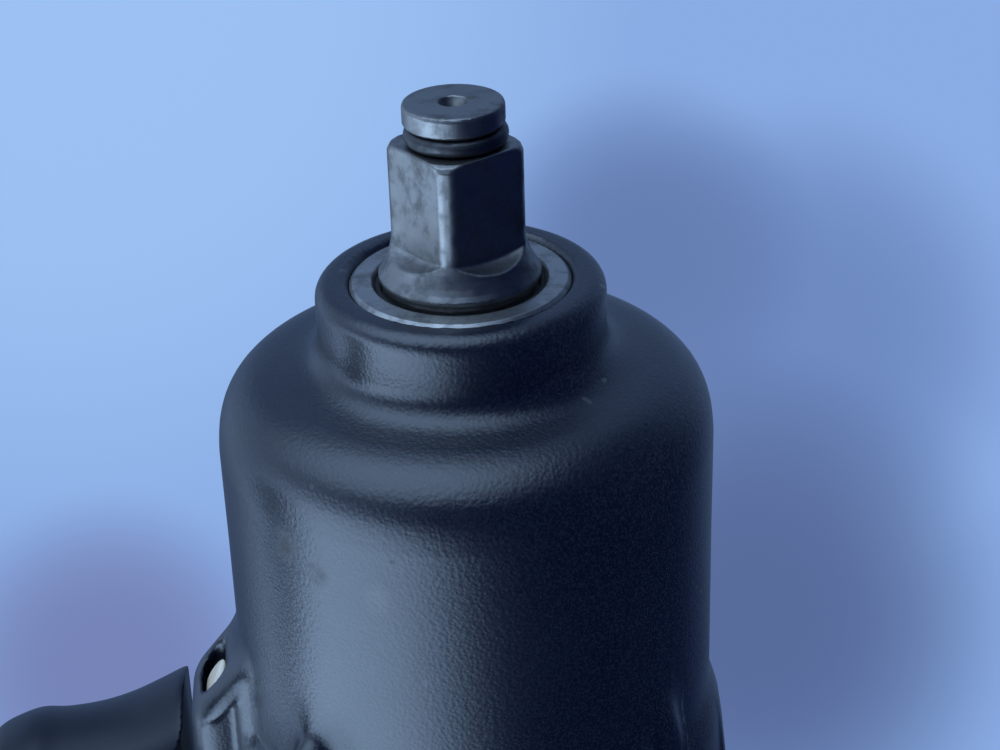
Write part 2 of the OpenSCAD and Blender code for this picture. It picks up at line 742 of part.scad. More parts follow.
module trigger() color([0.04, 0.04, 0.045]) {
    intersection() {
        translate([0, trigger_width / 2, 0]) rotate([90, 0, 0]) linear_extrude(trigger_width) trigger_profile();
        rounded_box([trigger_back - 10, -trigger_width / 2, trigger_bottom],
                    [trigger_front, trigger_width / 2, trigger_top], 5);
    }
    translate([trigger_back + 1, 0, (trigger_top + trigger_bottom) / 2]) rotate([0, -90, 0])
        cylinder(h = 7, r = 3);
}

module trigger_switch() color([0.12, 0.12, 0.13]) difference() {
    box([-45, -10.5, trigger_bottom + 1], [trigger_back - 1 - trigger_travel, 10.5, axis_z - 45]);
    translate([trigger_back, 0, (trigger_top + trigger_bottom) / 2]) rotate([0, -90, 0])
        cylinder(h = 8 + trigger_travel + 7, r = 3 + running);
}

// Button that is pushed through the handle from either side
module direction_selector() color([0.05, 0.05, 0.055])
    box([selector_back, -grip_width / 2 - 1.5, axis_z - 44.1], [selector_back + 13.2, grip_width / 2 + 1.5, axis_z - 38]);

// Three leads from the control board up the back of the handle to the motor
module motor_leads() color([0.5, 0.1, 0.08])
    for (y = [-3.4, 0, 3.4]) translate([grip_x, 0, foot_top]) rotate([0, grip_lean, 0])
        translate([-core_depth / 2 + wall + 2.4, y, -3])
            cylinder(h = axis_z - 34 - foot_top + 3, r = 1.3);

module control_board() color([0.12, 0.14, 0.13])
    box([-30, -24, foot_bottom + 14.5], [foot_front - 14, 24, foot_bottom + 18]);

module mode_panel() color([0.07, 0.07, 0.075]) difference() {
    box([-5.8, -8.8, foot_top - 3], [17.8, 8.8, foot_top - 0.6]);
    translate([6, 0, foot_top - 4]) cylinder(h = 6, r = 4 + free);
}

module mode_button() color([0.35, 0.35, 0.36]) translate([6, 0, foot_top - 3]) cylinder(h = 2.9, r = 4);

module terminal_seat(grow) box([-60 - grow, -16 - grow, foot_bottom + 8.4 - 3 * grow], [-36 + grow, 16 + grow, foot_bottom + 12]);

module terminal_block() color([0.05, 0.05, 0.05]) terminal_seat(0);

blade_spots = [-12, -4, 4, 12];

module terminal_blades() color([0.85, 0.65, 0.3])
    for (y = blade_spots) box([-58, y - 0.4, foot_bottom + 3.5], [-44, y + 0.4, foot_bottom + 8.4]);

module hook_inserts() color([0.8, 0.62, 0.3])
    for (end = [-1, 1]) translate([-48, end * (foot_width / 2 - 5), foot_bottom + 12]) rotate([90, 0, 0])
        difference() {
            cylinder(h = 9, r = 3, center = true);
            cylinder(h = 10, r = 1.65, center = true);
        }

// ---- Battery ----

module cell_room() box([battery_back + 3.5, -cell_length / 2 - 1, 3], [battery_front - 3.5, cell_length / 2 + 1, 48]);

module battery_form(low, high)
    rounded_box([battery_back, -battery_width / 2, low], [battery_front, battery_width / 2, high], 9);

module release_slot(side) box([battery_front - 34, side > 0 ? battery_width / 2 - 4.5 : -battery_width / 2 - 1, 32],
                              [battery_front - 12, side > 0 ? battery_width / 2 + 1 : -battery_width / 2 + 4.5, 48]);

module battery_lower_case() color([0.07, 0.07, 0.075]) difference() {
    battery_form(0, battery_split);
    cell_room();
}

module battery_upper_case() color([0.08, 0.08, 0.085]) difference() {
    union() {
        battery_form(battery_split, battery_height);
        box([-61, -rail_neck / 2, battery_height - 1], [battery_front - 8, rail_neck / 2, battery_height + 4]);
        box([-61, -rail_head / 2, battery_height + 3.5], [battery_front - 8, rail_head / 2, battery_height + 8]);
    }
    cell_room();
    for (y = blade_spots) box([-62, y - 1.2, battery_height + 3], [-40, y + 1.2, battery_height + 9]);
    for (side = [-1, 1]) release_slot(side);
    box([battery_front - 3, -14, 34], [battery_front + 1, 14, 42]);
}

module battery_cells() color([0.25, 0.4, 0.55])
    for (i = [0:4], k = [0, 1])
        translate([battery_back + 19.5 + i * cell_pitch, cell_length / 2, 12.5 + k * cell_pitch]) rotate([90, 0, 0])
            cylinder(h = cell_length, r = cell_r);

module battery_contacts() color([0.85, 0.65, 0.3])
    for (y = blade_spots, side = [-1, 1])
        box([-57, y + side * 0.8 - 0.25, battery_height + 3], [-43, y + side * 0.8 + 0.25, battery_height + 7.4]);

module release_button(side) color([0.3, 0.3, 0.31])
    box([battery_front - 33.6, side > 0 ? battery_width / 2 - 1.6 : -battery_width / 2 - 0.9, 32.4],
        [battery_front - 12.4, side > 0 ? battery_width / 2 + 0.9 : -battery_width / 2 + 1.6, 47.6]);

module gauge_lens() color([0.2, 0.2, 0.2]) difference() {
    box([battery_front - 3, -13.8, 34.2], [battery_front - 0.5, 13.8, 41.8]);
    translate([battery_front - 4, 8, 38]) rotate([0, 90, 0]) cylinder(h = 6, r = 3 + free);
}

module gauge_button() color([0.35, 0.35, 0.36])
    translate([battery_front - 2.4, 8, 38]) rotate([0, 90, 0]) cylinder(h = 2.2, r = 3);

anvil();
friction_ring();
ring_cushion();
nose_bushing();
nose_seal();
anvil_washer();
hammer_case();
case_screws();
hammer();
impact_spring();
spring_washer();
thrust_balls();
cam_shaft();
cam_balls();
spring_seat();
planet_pins();
planet_gear(0);  // planet_gear_1
planet_gear(1);  // planet_gear_2
planet_gear(2);  // planet_gear_3
ring_gear();
gear_plate();
spindle_bearing();
front_motor_bearing();
rear_motor_bearing();
motor_shaft();
rotor_core();
rotor_magnets();
cooling_fan();
stator_core();
stator_insulators();
stator_windings();
sensor_board();
rear_cap();
rear_cap_screws();
housing_left();
housing_right();
housing_screws();
grip_left();
grip_right();
led_lens();
led_board();
trigger();
trigger_switch();
direction_selector();
motor_leads();
control_board();
mode_panel();
mode_button();
terminal_block();
terminal_blades();
hook_inserts();
battery_lower_case();
battery_upper_case();
battery_cells();
battery_contacts();
release_button(1);  // release_button_left
release_button(-1);  // release_button_right
gauge_lens();
gauge_button();
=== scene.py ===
"""Visual model of a cordless impact wrench, laid over its CAD frame. Shapes are in millimetres."""

import math

import bpy
import numpy as np
from mathutils import Matrix, Vector


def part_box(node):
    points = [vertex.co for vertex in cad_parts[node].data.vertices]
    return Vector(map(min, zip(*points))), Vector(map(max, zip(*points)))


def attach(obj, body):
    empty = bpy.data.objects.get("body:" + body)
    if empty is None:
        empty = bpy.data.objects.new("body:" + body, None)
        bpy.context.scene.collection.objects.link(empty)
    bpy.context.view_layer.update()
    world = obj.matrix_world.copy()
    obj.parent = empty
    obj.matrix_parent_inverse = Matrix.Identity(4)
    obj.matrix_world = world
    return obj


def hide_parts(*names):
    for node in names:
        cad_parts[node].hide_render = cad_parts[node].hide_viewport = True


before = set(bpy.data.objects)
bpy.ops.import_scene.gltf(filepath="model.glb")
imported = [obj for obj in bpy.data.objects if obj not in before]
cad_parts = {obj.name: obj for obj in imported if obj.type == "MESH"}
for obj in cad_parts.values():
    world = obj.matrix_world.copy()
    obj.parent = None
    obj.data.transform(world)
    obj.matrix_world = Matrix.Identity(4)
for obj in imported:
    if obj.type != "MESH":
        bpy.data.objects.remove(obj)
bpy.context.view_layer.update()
MM = 0.001


def mm_box(node):
    """A CAD node's lowest and highest corner, in millimetres."""
    low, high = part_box(node)
    return np.array(low) / MM, np.array(high) / MM


# ---- Places taken from the CAD nodes ----

BUSH_LOW, BUSH_HIGH = mm_box("nose_bushing")
CASE_HIGH = mm_box("hammer_case")[1]
CAP_LOW, CAP_HIGH = mm_box("rear_cap")
BODY_LOW, BODY_HIGH = mm_box("housing_left")
PACK_LOW, PACK_HIGH = mm_box("battery_lower_case")
PACK_TOP = mm_box("battery_upper_case")[1]
LATCH_LOW, LATCH_HIGH = mm_box("release_button_left")
PANEL_LOW, PANEL_HIGH = mm_box("mode_panel")
SELECT_LOW, SELECT_HIGH = mm_box("direction_selector")
TRIGGER_LOW, TRIGGER_HIGH = mm_box("trigger")
GAUGE_LOW, GAUGE_HIGH = mm_box("gauge_lens")

AXIS = (BUSH_LOW[2] + BUSH_HIGH[2]) / 2         # height of the drive axis
NOSE = CASE_HIGH[0]                             # front face of the nose
TIP = mm_box("anvil")[1][0]                     # tip of the drive
SKIRT = NOSE - 75.5                             # where the case meets the housing
CASE_R = 30.8
BARREL_R = 33.6
BUSH_R = (BUSH_HIGH[2] - BUSH_LOW[2]) / 2
FOOT_TOP = 80.0
FOOT_BOTTOM = PACK_HIGH[2] * 2 + 0.5
LEAN = math.radians(5)
GRIP_X = -38.0
GRIP_DEPTH = 46.0
GRIP_WIDTH = 37.0
SKIN = 1.8                                      # thickness of the rubber grip
WALL = 2.6
LEDGE_DROP = 38.0                               # from the axis to the lamp ledge's underside
LEDGE_FRONT = NOSE - 50
LEDGE_TOP = 31.4                                # from the axis to the top of the ledge's front
LEDGE_FALL = (0.636, 0.771)                     # which way the ledge's front faces, ahead and down


# ---- Distance fields: each takes points (x, y, z) and gives signed distances ----

def polygon(u, v, outline):
    """Distance in a plane to a closed outline, negative inside."""
    nearest = np.full(u.shape, 1e9, np.float32)
    inside = np.zeros(u.shape, bool)
    for (ax, ay), (bx, by) in zip(outline, outline[1:] + outline[:1]):
        ex, ey = bx - ax, by - ay
        if ex == ey == 0:
            continue
        wu, wv = u - ax, v - ay
        t = np.clip((wu * ex + wv * ey) / (ex * ex + ey * ey), 0, 1)
        nearest = np.minimum(nearest, (wu - ex * t) ** 2 + (wv - ey * t) ** 2)
        if ey:
            inside ^= ((ay > v) != (by > v)) & (wu < ex * wv / ey)
    return np.where(inside, -1, 1) * np.sqrt(nearest)


def radius(p):
    return np.hypot(p[1], p[2] - AXIS)


def lathe(p, outline):
    """Solid of revolution about the drive axis from (x, radius) points."""
    return polygon(p[0], radius(p), outline)


def slab(p, low, high, r=0.0):
    """Box between two corners, with edges rounded by r."""
    q = [np.abs(p[i] - (low[i] + high[i]) / 2) - (high[i] - low[i]) / 2 + r for i in range(3)]
    outer = np.sqrt(sum(np.maximum(c, 0) ** 2 for c in q))
    return outer + np.minimum(np.maximum(np.maximum(q[0], q[1]), q[2]), 0) - r


def upright_box(p, low, high, corner, edge):
    """Box whose upright edges are rounded by corner and the rest by edge."""
    q = [np.abs(p[i] - (low[i] + high[i]) / 2) - (high[i] - low[i]) / 2 + corner for i in (0, 1)]
    plan = np.hypot(np.maximum(q[0], 0), np.maximum(q[1], 0))
    plan = plan + np.minimum(np.maximum(q[0], q[1]), 0) - corner
    tall = np.abs(p[2] - (low[2] + high[2]) / 2) - (high[2] - low[2]) / 2
    a, b = plan + edge, tall + edge
    return np.hypot(np.maximum(a, 0), np.maximum(b, 0)) + np.minimum(np.maximum(a, b), 0) - edge


def rod(p, start, end, r, y=0.0, z=None, edge=0.0):
    """Cylinder along X."""
    out = np.hypot(p[1] - y, p[2] - (AXIS if z is None else z)) - r + edge
    end_d = np.abs(p[0] - (start + end) / 2) - (end - start) / 2 + edge
    return np.hypot(np.maximum(out, 0), np.maximum(end_d, 0)) + np.minimum(np.maximum(out, end_d), 0) - edge


def join(a, b, k):
    """Union with a fillet of about k."""
    h = np.maximum(k - np.abs(a - b), 0) / k
    return np.minimum(a, b) - h * h * k / 4


def cut(a, b, k=0.3):
    """a without b, with the edge softened by k."""
    h = np.maximum(k - np.abs(a + b), 0) / k
    return np.maximum(a, -b) + h * h * k / 4


def both(a, b, k=0.3):
    h = np.maximum(k - np.abs(a - b), 0) / k
    return np.maximum(a, b) + h * h * k / 4


def arc(cx, cy, r, start, end, steps):
    angles = [math.radians(start + (end - start) * i / steps) for i in range(steps + 1)]
    return [(cx + r * math.cos(a), cy + r * math.sin(a)) for a in angles]


def smooth_line(points, steps=5):
    """Catmull-Rom curve through points, kept straight at its ends."""
    padded = [points[0]] + points + [points[-1]]
    line = []
    for a, b, c, d in zip(padded, padded[1:], padded[2:], padded[3:]):
        for i in range(steps):
            t = i / steps
            line.append(tuple(0.5 * (2 * b[k] + (c[k] - a[k]) * t
                                     + (2 * a[k] - 5 * b[k] + 4 * c[k] - d[k]) * t * t
                                     + (3 * b[k] - a[k] - 3 * c[k] + d[k]) * t ** 3) for k in (0, 1)))
    return line + [points[-1]]


# ---- Mesh from a distance field ----

def skin(field, low, high, step):
    """Vertices, normals and quads of the surface where field is zero."""
    block = 8
    low = np.array(low, np.float32)
    blocks = np.ceil((np.array(high) - low) / (step * block)).astype(int)
    middles = [low[i] + (np.arange(blocks[i]) + 0.5) * block * step for i in range(3)]
    middle = np.meshgrid(*middles, indexing="ij")
    coarse = field([m.astype(np.float32) for m in middle])
    busy = np.abs(coarse) < block * step * 1.1
    fill, cells = coarse.astype(np.float32), busy
    for axis in range(3):
        fill = np.repeat(fill, block, axis)
        cells = np.repeat(cells, block, axis)
    d = np.pad(fill, ((0, 1),) * 3, mode="edge")
    wanted = np.zeros(d.shape, bool)
    nx, ny, nz = cells.shape
    for i in (0, 1):
        for j in (0, 1):
            for k in (0, 1):
                wanted[i:nx + i, j:ny + j, k:nz + k] |= cells
    spots = np.nonzero(wanted)
    d[spots] = field([(low[i] + spots[i] * step).astype(np.float32) for i in range(3)])

    inside = d < 0
    count = np.zeros((nx, ny, nz), np.int8)
    corners = [(i, j, k) for i in (0, 1) for j in (0, 1) for k in (0, 1)]
    for i, j, k in corners:
        count += inside[i:nx + i, j:ny + j, k:nz + k]
    cell = np.nonzero((count > 0) & (count < 8))
    values = {c: d[cell[0] + c[0], cell[1] + c[1], cell[2] + c[2]] for c in corners}
    total = np.zeros((len(cell[0]), 3))
    hits = np.zeros(len(cell[0]))
    for a in corners:
        for axis in range(3):
            if a[axis]:
                continue
            b = tuple(1 if i == axis else a[i] for i in range(3))
            crossing = (values[a] < 0) != (values[b] < 0)
            t = np.where(crossing, values[a] / np.where(crossing, values[a] - values[b], 1), 0)
            for i in range(3):
                total[:, i] += np.where(crossing, a[i] + (t if i == axis else 0), 0)
            hits += crossing
    points = low + (np.stack(cell, 1) + total / hits[:, None]) * step

    def slope(at):
        h = 0.35 * step
        columns = []
        for axis in range(3):
            shift = np.zeros(3)
            shift[axis] = h
            ahead = field(list((at + shift).T))
            behind = field(list((at - shift).T))
            columns.append((ahead - behind) / (2 * h))
        return np.stack(columns, 1)

    for _ in range(2):
        g = slope(points)
        length = np.maximum((g * g).sum(1), 0.25)
        move = -(field(list(points.T)) / length)[:, None] * g
        size = np.linalg.norm(move, axis=1, keepdims=True)
        points = points + move * np.minimum(1, 0.5 * step / np.maximum(size, 1e-9))
    normals = slope(points)
    normals /= np.maximum(np.linalg.norm(normals, axis=1, keepdims=True), 1e-9)

    index = np.full((nx, ny, nz), -1, np.int64)
    index[cell] = np.arange(len(points))
    quads = []
    for axis in range(3):
        u, v = (axis + 1) % 3, (axis + 2) % 3
        here = [slice(1, -1)] * 3
        here[axis] = slice(0, -1)
        there = list(here)
        there[axis] = slice(1, None)
        crossing = inside[tuple(here)] != inside[tuple(there)]
        at = [a + (0 if i == axis else 1) for i, a in enumerate(np.nonzero(crossing))]
        starts_inside = inside[tuple(at)]
        ring = []
        for du, dv in ((-1, -1), (0, -1), (0, 0), (-1, 0)):
            spot = list(at)
            spot[u] = spot[u] + du
            spot[v] = spot[v] + dv
            ring.append(index[tuple(spot)])
        ring = np.stack(ring, 1)
        quads.append(np.where(starts_inside[:, None], ring, ring[:, ::-1]))
    quads = np.concatenate(quads)
    return points, normals, quads[(quads >= 0).all(1)]


def mesh_object(name, points, normals, quads):
    mesh = bpy.data.meshes.new(name)
    mesh.vertices.add(len(points))
    mesh.vertices.foreach_set("co", (points * MM).astype(np.float32).ravel())
    mesh.loops.add(quads.size)
    mesh.loops.foreach_set("vertex_index", quads.astype(np.int32).ravel())
    mesh.polygons.add(len(quads))
    mesh.polygons.foreach_set("loop_start", np.arange(0, quads.size, 4, dtype=np.int32))
    mesh.polygons.foreach_set("loop_total", np.full(len(quads), 4, np.int32))
    mesh.polygons.foreach_set("use_smooth", np.ones(len(quads), bool))
    mesh.update(calc_edges=True)
    mesh.validate()
    if len(mesh.vertices) == len(normals):
        mesh.normals_split_custom_set_from_vertices(normals)
    obj = bpy.data.objects.new(name, mesh)
    bpy.context.scene.collection.objects.link(obj)
    return obj


def piece(name, field, low, high, step, material, body, replaced):
    """Makes one piece from its distance field and puts it on its CAD body."""
    points, normals, quads = skin(field, low, high, step)
    obj = mesh_object(name, points, normals, quads)
    obj.data.materials.append(material)
    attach(obj, body)
    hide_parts(*replaced)
    obj.visible_glossy = material in MIRRORED
    return obj


# ---- Materials ----

class Nodes:
    """Short way to build a node tree."""

    def __init__(self, name):
        self.material = bpy.data.materials.new(name)
        self.material.use_nodes = True
        self.tree = self.material.node_tree
        self.shader = self.tree.nodes["Principled BSDF"]
        self.place = self.add("ShaderNodeTexCoord").outputs["Object"]

    def add(self, kind, **inputs):
        node = self.tree.nodes.new(kind)
        for key, value in inputs.items():
            self.put(node, key.replace("_", " "), value)
        return node

    def put(self, node, key, value):
        socket = node.inputs[int(key) if key.isdigit() else key]
        if isinstance(value, bpy.types.NodeSocket):
            self.tree.links.new(value, socket)
        else:
            socket.default_value = value

    def noise(self, scale, detail=4.0, rough=0.55):
        node = self.add("ShaderNodeTexNoise", Vector=self.place, Scale=scale, Detail=detail,
                        Roughness=rough)
        return node.outputs["Fac"]

    def cells(self, scale, smooth=0.6):
        node = self.add("ShaderNodeTexVoronoi", Vector=self.place, Scale=scale)
        node.feature = "SMOOTH_F1"
        self.put(node, "Smoothness", smooth)
        return node.outputs["Distance"]

    def ramp(self, value, low, high, to_low, to_high):
        node = self.add("ShaderNodeMapRange", Value=value)
        for key, number in (("From Min", low), ("From Max", high), ("To Min", to_low), ("To Max", to_high)):
            node.inputs[key].default_value = number
        return node.outputs["Result"]

    def math(self, operation, a, b=0.0):
        node = self.tree.nodes.new("ShaderNodeMath")
        node.operation = operation
        self.put(node, "0", a)
        self.put(node, "1", b)
        return node.outputs[0]

    def mix(self, fac, a, b):
        node = self.tree.nodes.new("ShaderNodeMix")
        node.data_type = "RGBA"
        self.put(node, "0", fac)
        self.put(node, "6", a if isinstance(a, bpy.types.NodeSocket) else (*a, 1))
        self.put(node, "7", b if isinstance(b, bpy.types.NodeSocket) else (*b, 1))
        return node.outputs[2]

    def bump(self, height, strength, distance_mm):
        node = self.add("ShaderNodeBump", Height=height, Strength=strength, Distance=distance_mm * MM)
        last = self.shader.inputs["Normal"]
        if last.is_linked:
            self.tree.links.new(last.links[0].from_socket, node.inputs["Normal"])
        self.tree.links.new(node.outputs["Normal"], last)

    def near(self, centre, size):
        """1 at a spot on the object and 0 beyond size, both in millimetres."""
        offset = self.tree.nodes.new("ShaderNodeVectorMath")
        offset.operation = "DISTANCE"
        self.put(offset, "0", self.place)
        offset.inputs[1].default_value = [c * MM for c in centre]
        return self.ramp(offset.outputs["Value"], size * MM, size * 0.35 * MM, 0.0, 1.0)


# Old dull marks on the case as (angle round from the left, distance back from the nose, size, dulling)
STAINS = [(-48, 24, 2.6, 0.3), (-39, 26, 2.0, 0.2), (-24, 27.5, 2.6, -0.08), (-43, 16.5, 0.6, 0.3),
          (-20, 22, 0.5, 0.3), (-5, 26, 0.6, 0.3)]


def on_case(turn, back):
    """Point on the hammer case's side."""
    angle = math.radians(turn)
    return (NOSE - back, (CASE_R + 0.2) * math.cos(angle), AXIS + (CASE_R + 0.2) * math.sin(angle))


def powder_coat():
    """Black powder coat with a fine leather grain and a few old marks."""
    n = Nodes("powder_coat")
    grain = n.cells(2100, 0.8)
    fine = n.noise(4600, 2.0)
    patches = n.noise(38, 5.0, 0.6)
    colour = n.mix(n.ramp(patches, 0.35, 0.7, 0.0, 1.0), (0.0012, 0.0026, 0.009), (0.0022, 0.0042, 0.012))
    colour = n.mix(n.ramp(n.noise(3400, 1.0), 0.45, 0.7, 0.0, 1.0), colour, (0.011, 0.016, 0.026))
    specks = n.ramp(n.noise(420, 1.0), 0.775, 0.80, 0.0, 0.55)
    colour = n.mix(specks, colour, (0.06, 0.07, 0.08))
    rough = n.ramp(patches, 0.3, 0.75, 0.3, 0.37)
    for turn, back, size, strength in STAINS:
        spot = n.near(on_case(turn, back), size)
        spot = n.math("MULTIPLY", spot, n.ramp(n.noise(420, 3.0), 0.42, 0.56, 0.15, 1.0))
        colour = n.mix(n.math("MULTIPLY", spot, 0.7), colour, (0.02, 0.016, 0.014))
        rough = n.math("ADD", rough, n.math("MULTIPLY", spot, strength))
    n.put(n.shader, "Base Color", colour)
    n.put(n.shader, "Roughness", rough)
    n.bump(n.math("ADD", n.math("MULTIPLY", grain, 0.8), n.math("MULTIPLY", fine, 0.35)), 0.5, 0.08)
    n.shader.inputs["Specular IOR Level"].default_value = 1.0
    return n.material


def worn_steel(name, colour, rough, pits, streak):
    """Machined steel with grime, pits and fine turning or grinding marks."""
    n = Nodes(name)
    grime = n.noise(330, 6.0, 0.65)
    stain = n.noise(60, 4.0, 0.6)
    dark = tuple(c * 0.42 for c in colour)
    base = n.mix(n.ramp(grime, 0.48, 0.66, 0.0, 0.8), colour, dark)
    base = n.mix(n.ramp(stain, 0.5, 0.72, 0.0, 0.45), base, (dark[0] * 1.1, dark[1] * 0.95, dark[2] * 0.75))
    n.put(n.shader, "Base Color", base)
    n.shader.inputs["Metallic"].default_value = 1.0
    n.put(n.shader, "Roughness", n.ramp(grime, 0.35, 0.7, rough, rough + 0.22))
    n.bump(n.noise(900, 5.0, 0.6), pits, 0.06)
    stretch = n.add("ShaderNodeMapping", Vector=n.place, Scale=streak)
    lines = n.add("ShaderNodeTexNoise", Vector=stretch.outputs[0], Scale=1.0, Detail=3.0)
    n.bump(lines.outputs["Fac"], 0.35, 0.03)
    return n.material


def moulded(name, colour, rough, grain=900.0, depth=0.05, metal=0.0, wear=0.12):
    """Moulded plastic, rubber or painted metal with an even fine grain."""
    n = Nodes(name)
    patches = n.noise(45, 4.0)
    worn = tuple(min(1.0, c * (1 + wear) + wear * 0.02) for c in colour)
    n.put(n.shader, "Base Color", n.mix(n.ramp(patches, 0.4, 0.65, 0.0, 1.0), colour, worn))
    n.put(n.shader, "Roughness", n.ramp(patches, 0.35, 0.7, rough, min(1.0, rough + 0.08)))
    n.shader.inputs["Metallic"].default_value = metal
    n.bump(n.cells(grain), 0.4, depth)
    return n.material


def lens_material():
    n = Nodes("lamp_lens")
    n.put(n.shader, "Base Color", n.mix(n.noise(300, 2.0), (0.72, 0.68, 0.5), (0.85, 0.84, 0.74)))
    n.shader.inputs["Roughness"].default_value = 0.12
    n.shader.inputs["IOR"].default_value = 1.49
    n.shader.inputs["Coat Weight"].default_value = 0.6
    n.shader.inputs["Emission Color"].default_value = (0.8, 0.85, 0.8, 1)
    n.shader.inputs["Emission Strength"].default_value = 0.22
    return n.material


COAT = powder_coat()
ANVIL_STEEL = worn_steel("anvil_worn_steel", (0.29, 0.285, 0.275), 0.33, 0.6, (60, 1900, 1900))
BUSH_STEEL = worn_steel("bushing_turned_steel", (0.42, 0.415, 0.4), 0.34, 0.35, (1500, 160, 160))
RING_STEEL = worn_steel("dark_ring_steel", (0.11, 0.11, 0.115), 0.35, 0.3, (900, 200, 200))
TRIGGER_BLACK = moulded("trigger_plastic", (0.0035, 0.006, 0.014), 0.38, 1600, 0.012)
BODY_ORANGE = moulded("housing_plastic", (0.62, 0.1, 0.018), 0.42, 1100, 0.03)
BLACK_PLASTIC = moulded("black_plastic", (0.018, 0.019, 0.021), 0.46, 1100, 0.04)
RUBBER = moulded("soft_rubber", (0.014, 0.014, 0.015), 0.72, 1500, 0.05)
GREY_PLASTIC = moulded("grey_plastic", (0.17, 0.175, 0.18), 0.45, 1200, 0.02)
LENS = lens_material()
SMOKED = moulded("smoked_window", (0.02, 0.022, 0.025), 0.12, 400, 0.002)

# Only these show in the gloss of the others, so that the coat's highlights come from the studio lights
MIRRORED = (COAT, ANVIL_STEEL, BUSH_STEEL, RING_STEEL)

# The record's slots that CAD nodes keep, as (colour, roughness, metal)
SLOT_LOOKS = {
    "washer_bronze": ((0.48, 0.33, 0.16), 0.4, 1.0), "forged_steel": ((0.2, 0.2, 0.205), 0.42, 1.0),
    "spring_steel": ((0.24, 0.24, 0.25), 0.35, 1.0), "bright_steel": ((0.62, 0.62, 0.63), 0.2, 1.0),
    "gear_steel": ((0.42, 0.42, 0.43), 0.28, 1.0), "plate_aluminium": ((0.5, 0.5, 0.51), 0.45, 1.0),
    "magnet": ((0.5, 0.5, 0.52), 0.3, 1.0), "dark_plastic": ((0.03, 0.03, 0.032), 0.5, 0.0),
    "lamination": ((0.3, 0.3, 0.31), 0.5, 1.0), "copper": ((0.72, 0.3, 0.12), 0.3, 1.0),
    "ivory_plastic": ((0.72, 0.68, 0.55), 0.5, 0.0), "board_green": ((0.02, 0.14, 0.06), 0.4, 0.0),
    "wire_red": ((0.4, 0.02, 0.015), 0.45, 0.0), "contact_brass": ((0.68, 0.46, 0.18), 0.28, 1.0),
    "cell_wrap": ((0.04, 0.16, 0.32), 0.35, 0.0), "screw_black": ((0.05, 0.05, 0.052), 0.36, 1.0),
    "rubber": ((0.014, 0.014, 0.015), 0.72, 0.0), "grey_plastic": ((0.17, 0.175, 0.18), 0.45, 0.0),
    "trigger_black": ((0.016, 0.019, 0.024), 0.38, 0.0), "battery_black": ((0.02, 0.02, 0.022), 0.5, 0.0),
}


def dress_cad_nodes():
    """Gives every CAD node that stays in view a procedural finish."""
    made = {}
    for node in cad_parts.values():
        for holder in node.material_slots:
            slot = holder.material.name.split(".")[0]
            if slot in SLOT_LOOKS:
                if slot not in made:
                    colour, rough, metal = SLOT_LOOKS[slot]
                    made[slot] = moulded("cad_" + slot, colour, rough, 1000, 0.02, metal)
                holder.material = made[slot]


# ---- Drive, bushing and nose ----

SQUARE = 12.7
CORNER_R = 8.13                     # the square's truncated corners
FLARE_R = 9.8
JOURNAL_R = 9.5
CENTRE_HOLE_R = 1.62
DISC_R = 6.12
DISC = 2.7
RUN_OUT = 4.2                       # from the nose face to where the flats start to run out
SQUARE_FRONT = 17.3                 # from the nose face to the square's front
RING_AT = 18.45                     # from the nose face to the friction ring's middle
RING_WIRE_R = 1.12
DRIVE_TURN = math.radians(12)       # how far the near corner is turned down from straight left


def anvil_outline():
    n = NOSE
    return ([(n - 32.8, 0), (n - 32.8, 12), (n - 23.8, 12), (n - 23.8, JOURNAL_R), (n - 0.4, JOURNAL_R)]
            + [(n, FLARE_R - 0.05), (n + 0.3, FLARE_R + 0.08)]
            + arc(n + 6.2, CORNER_R + 9.0, 9.0, 233, 270, 7)
            + [(n + SQUARE_FRONT - 0.9, CORNER_R), (n + SQUARE_FRONT - 0.25, CORNER_R - 0.35)]
            + [(n + SQUARE_FRONT, CORNER_R - 0.9), (n + SQUARE_FRONT, 3.9), (TIP - DISC, 3.9)]
            + [(TIP - DISC, DISC_R - 0.35), (TIP - DISC + 0.3, DISC_R), (TIP - 0.45, DISC_R)]
            + [(TIP - 0.12, DISC_R - 0.14), (TIP, DISC_R - 0.5), (TIP, 0)])


def anvil(p):
    """Anvil: turned blank with four flats, a centre hole, a rear bore and two ears for the hammer."""
    d = lathe(p, anvil_outline())
    for quarter in range(4):
        a = -DRIVE_TURN + math.pi / 4 + quarter * math.pi / 2
        out = p[1] * math.cos(a) + (p[2] - AXIS) * math.sin(a)
        across = -p[1] * math.sin(a) + (p[2] - AXIS) * math.cos(a)
        # the cutter's end is a wide U, so that the flat runs out over the flare in a curve
        rise = np.maximum(0, RUN_OUT - (p[0] - NOSE) + 0.025 * across ** 2) ** 2 * 2.6
        d = both(d, (out - SQUARE / 2 - rise) * 0.8, 0.35)
    ears = np.maximum(np.maximum(np.abs(p[1]) - 7.5, radius(p) - 21.5), np.abs(p[0] - NOSE + 28.3) - 4.5)
    d = np.minimum(d, ears)
    depth = TIP - 0.35 - p[0]
    hole = radius(p) - CENTRE_HOLE_R + np.maximum(depth, 0) * 0.62 - np.maximum(-depth, 0) * 0.5
    d = cut(d, hole * 0.85, 0.1)
    return cut(d, rod(p, NOSE - 34, NOSE - 24.8, 4.5))


def friction_ring(p):
    """Split ring that sits a little to one side in its groove."""
    loose = (p[0], p[1], p[2] - 0.2)
    section = arc(NOSE + RING_AT, DISC_R - 0.97, RING_WIRE_R, 180, 0, 10)
    d = lathe(loose, [(section[0][0], 4.4)] + section + [(section[-1][0], 4.4)])
    slit = np.maximum(np.abs(p[1] + 2.0) - 0.5, p[2] - AXIS)
    return cut(d, slit, 0.1)


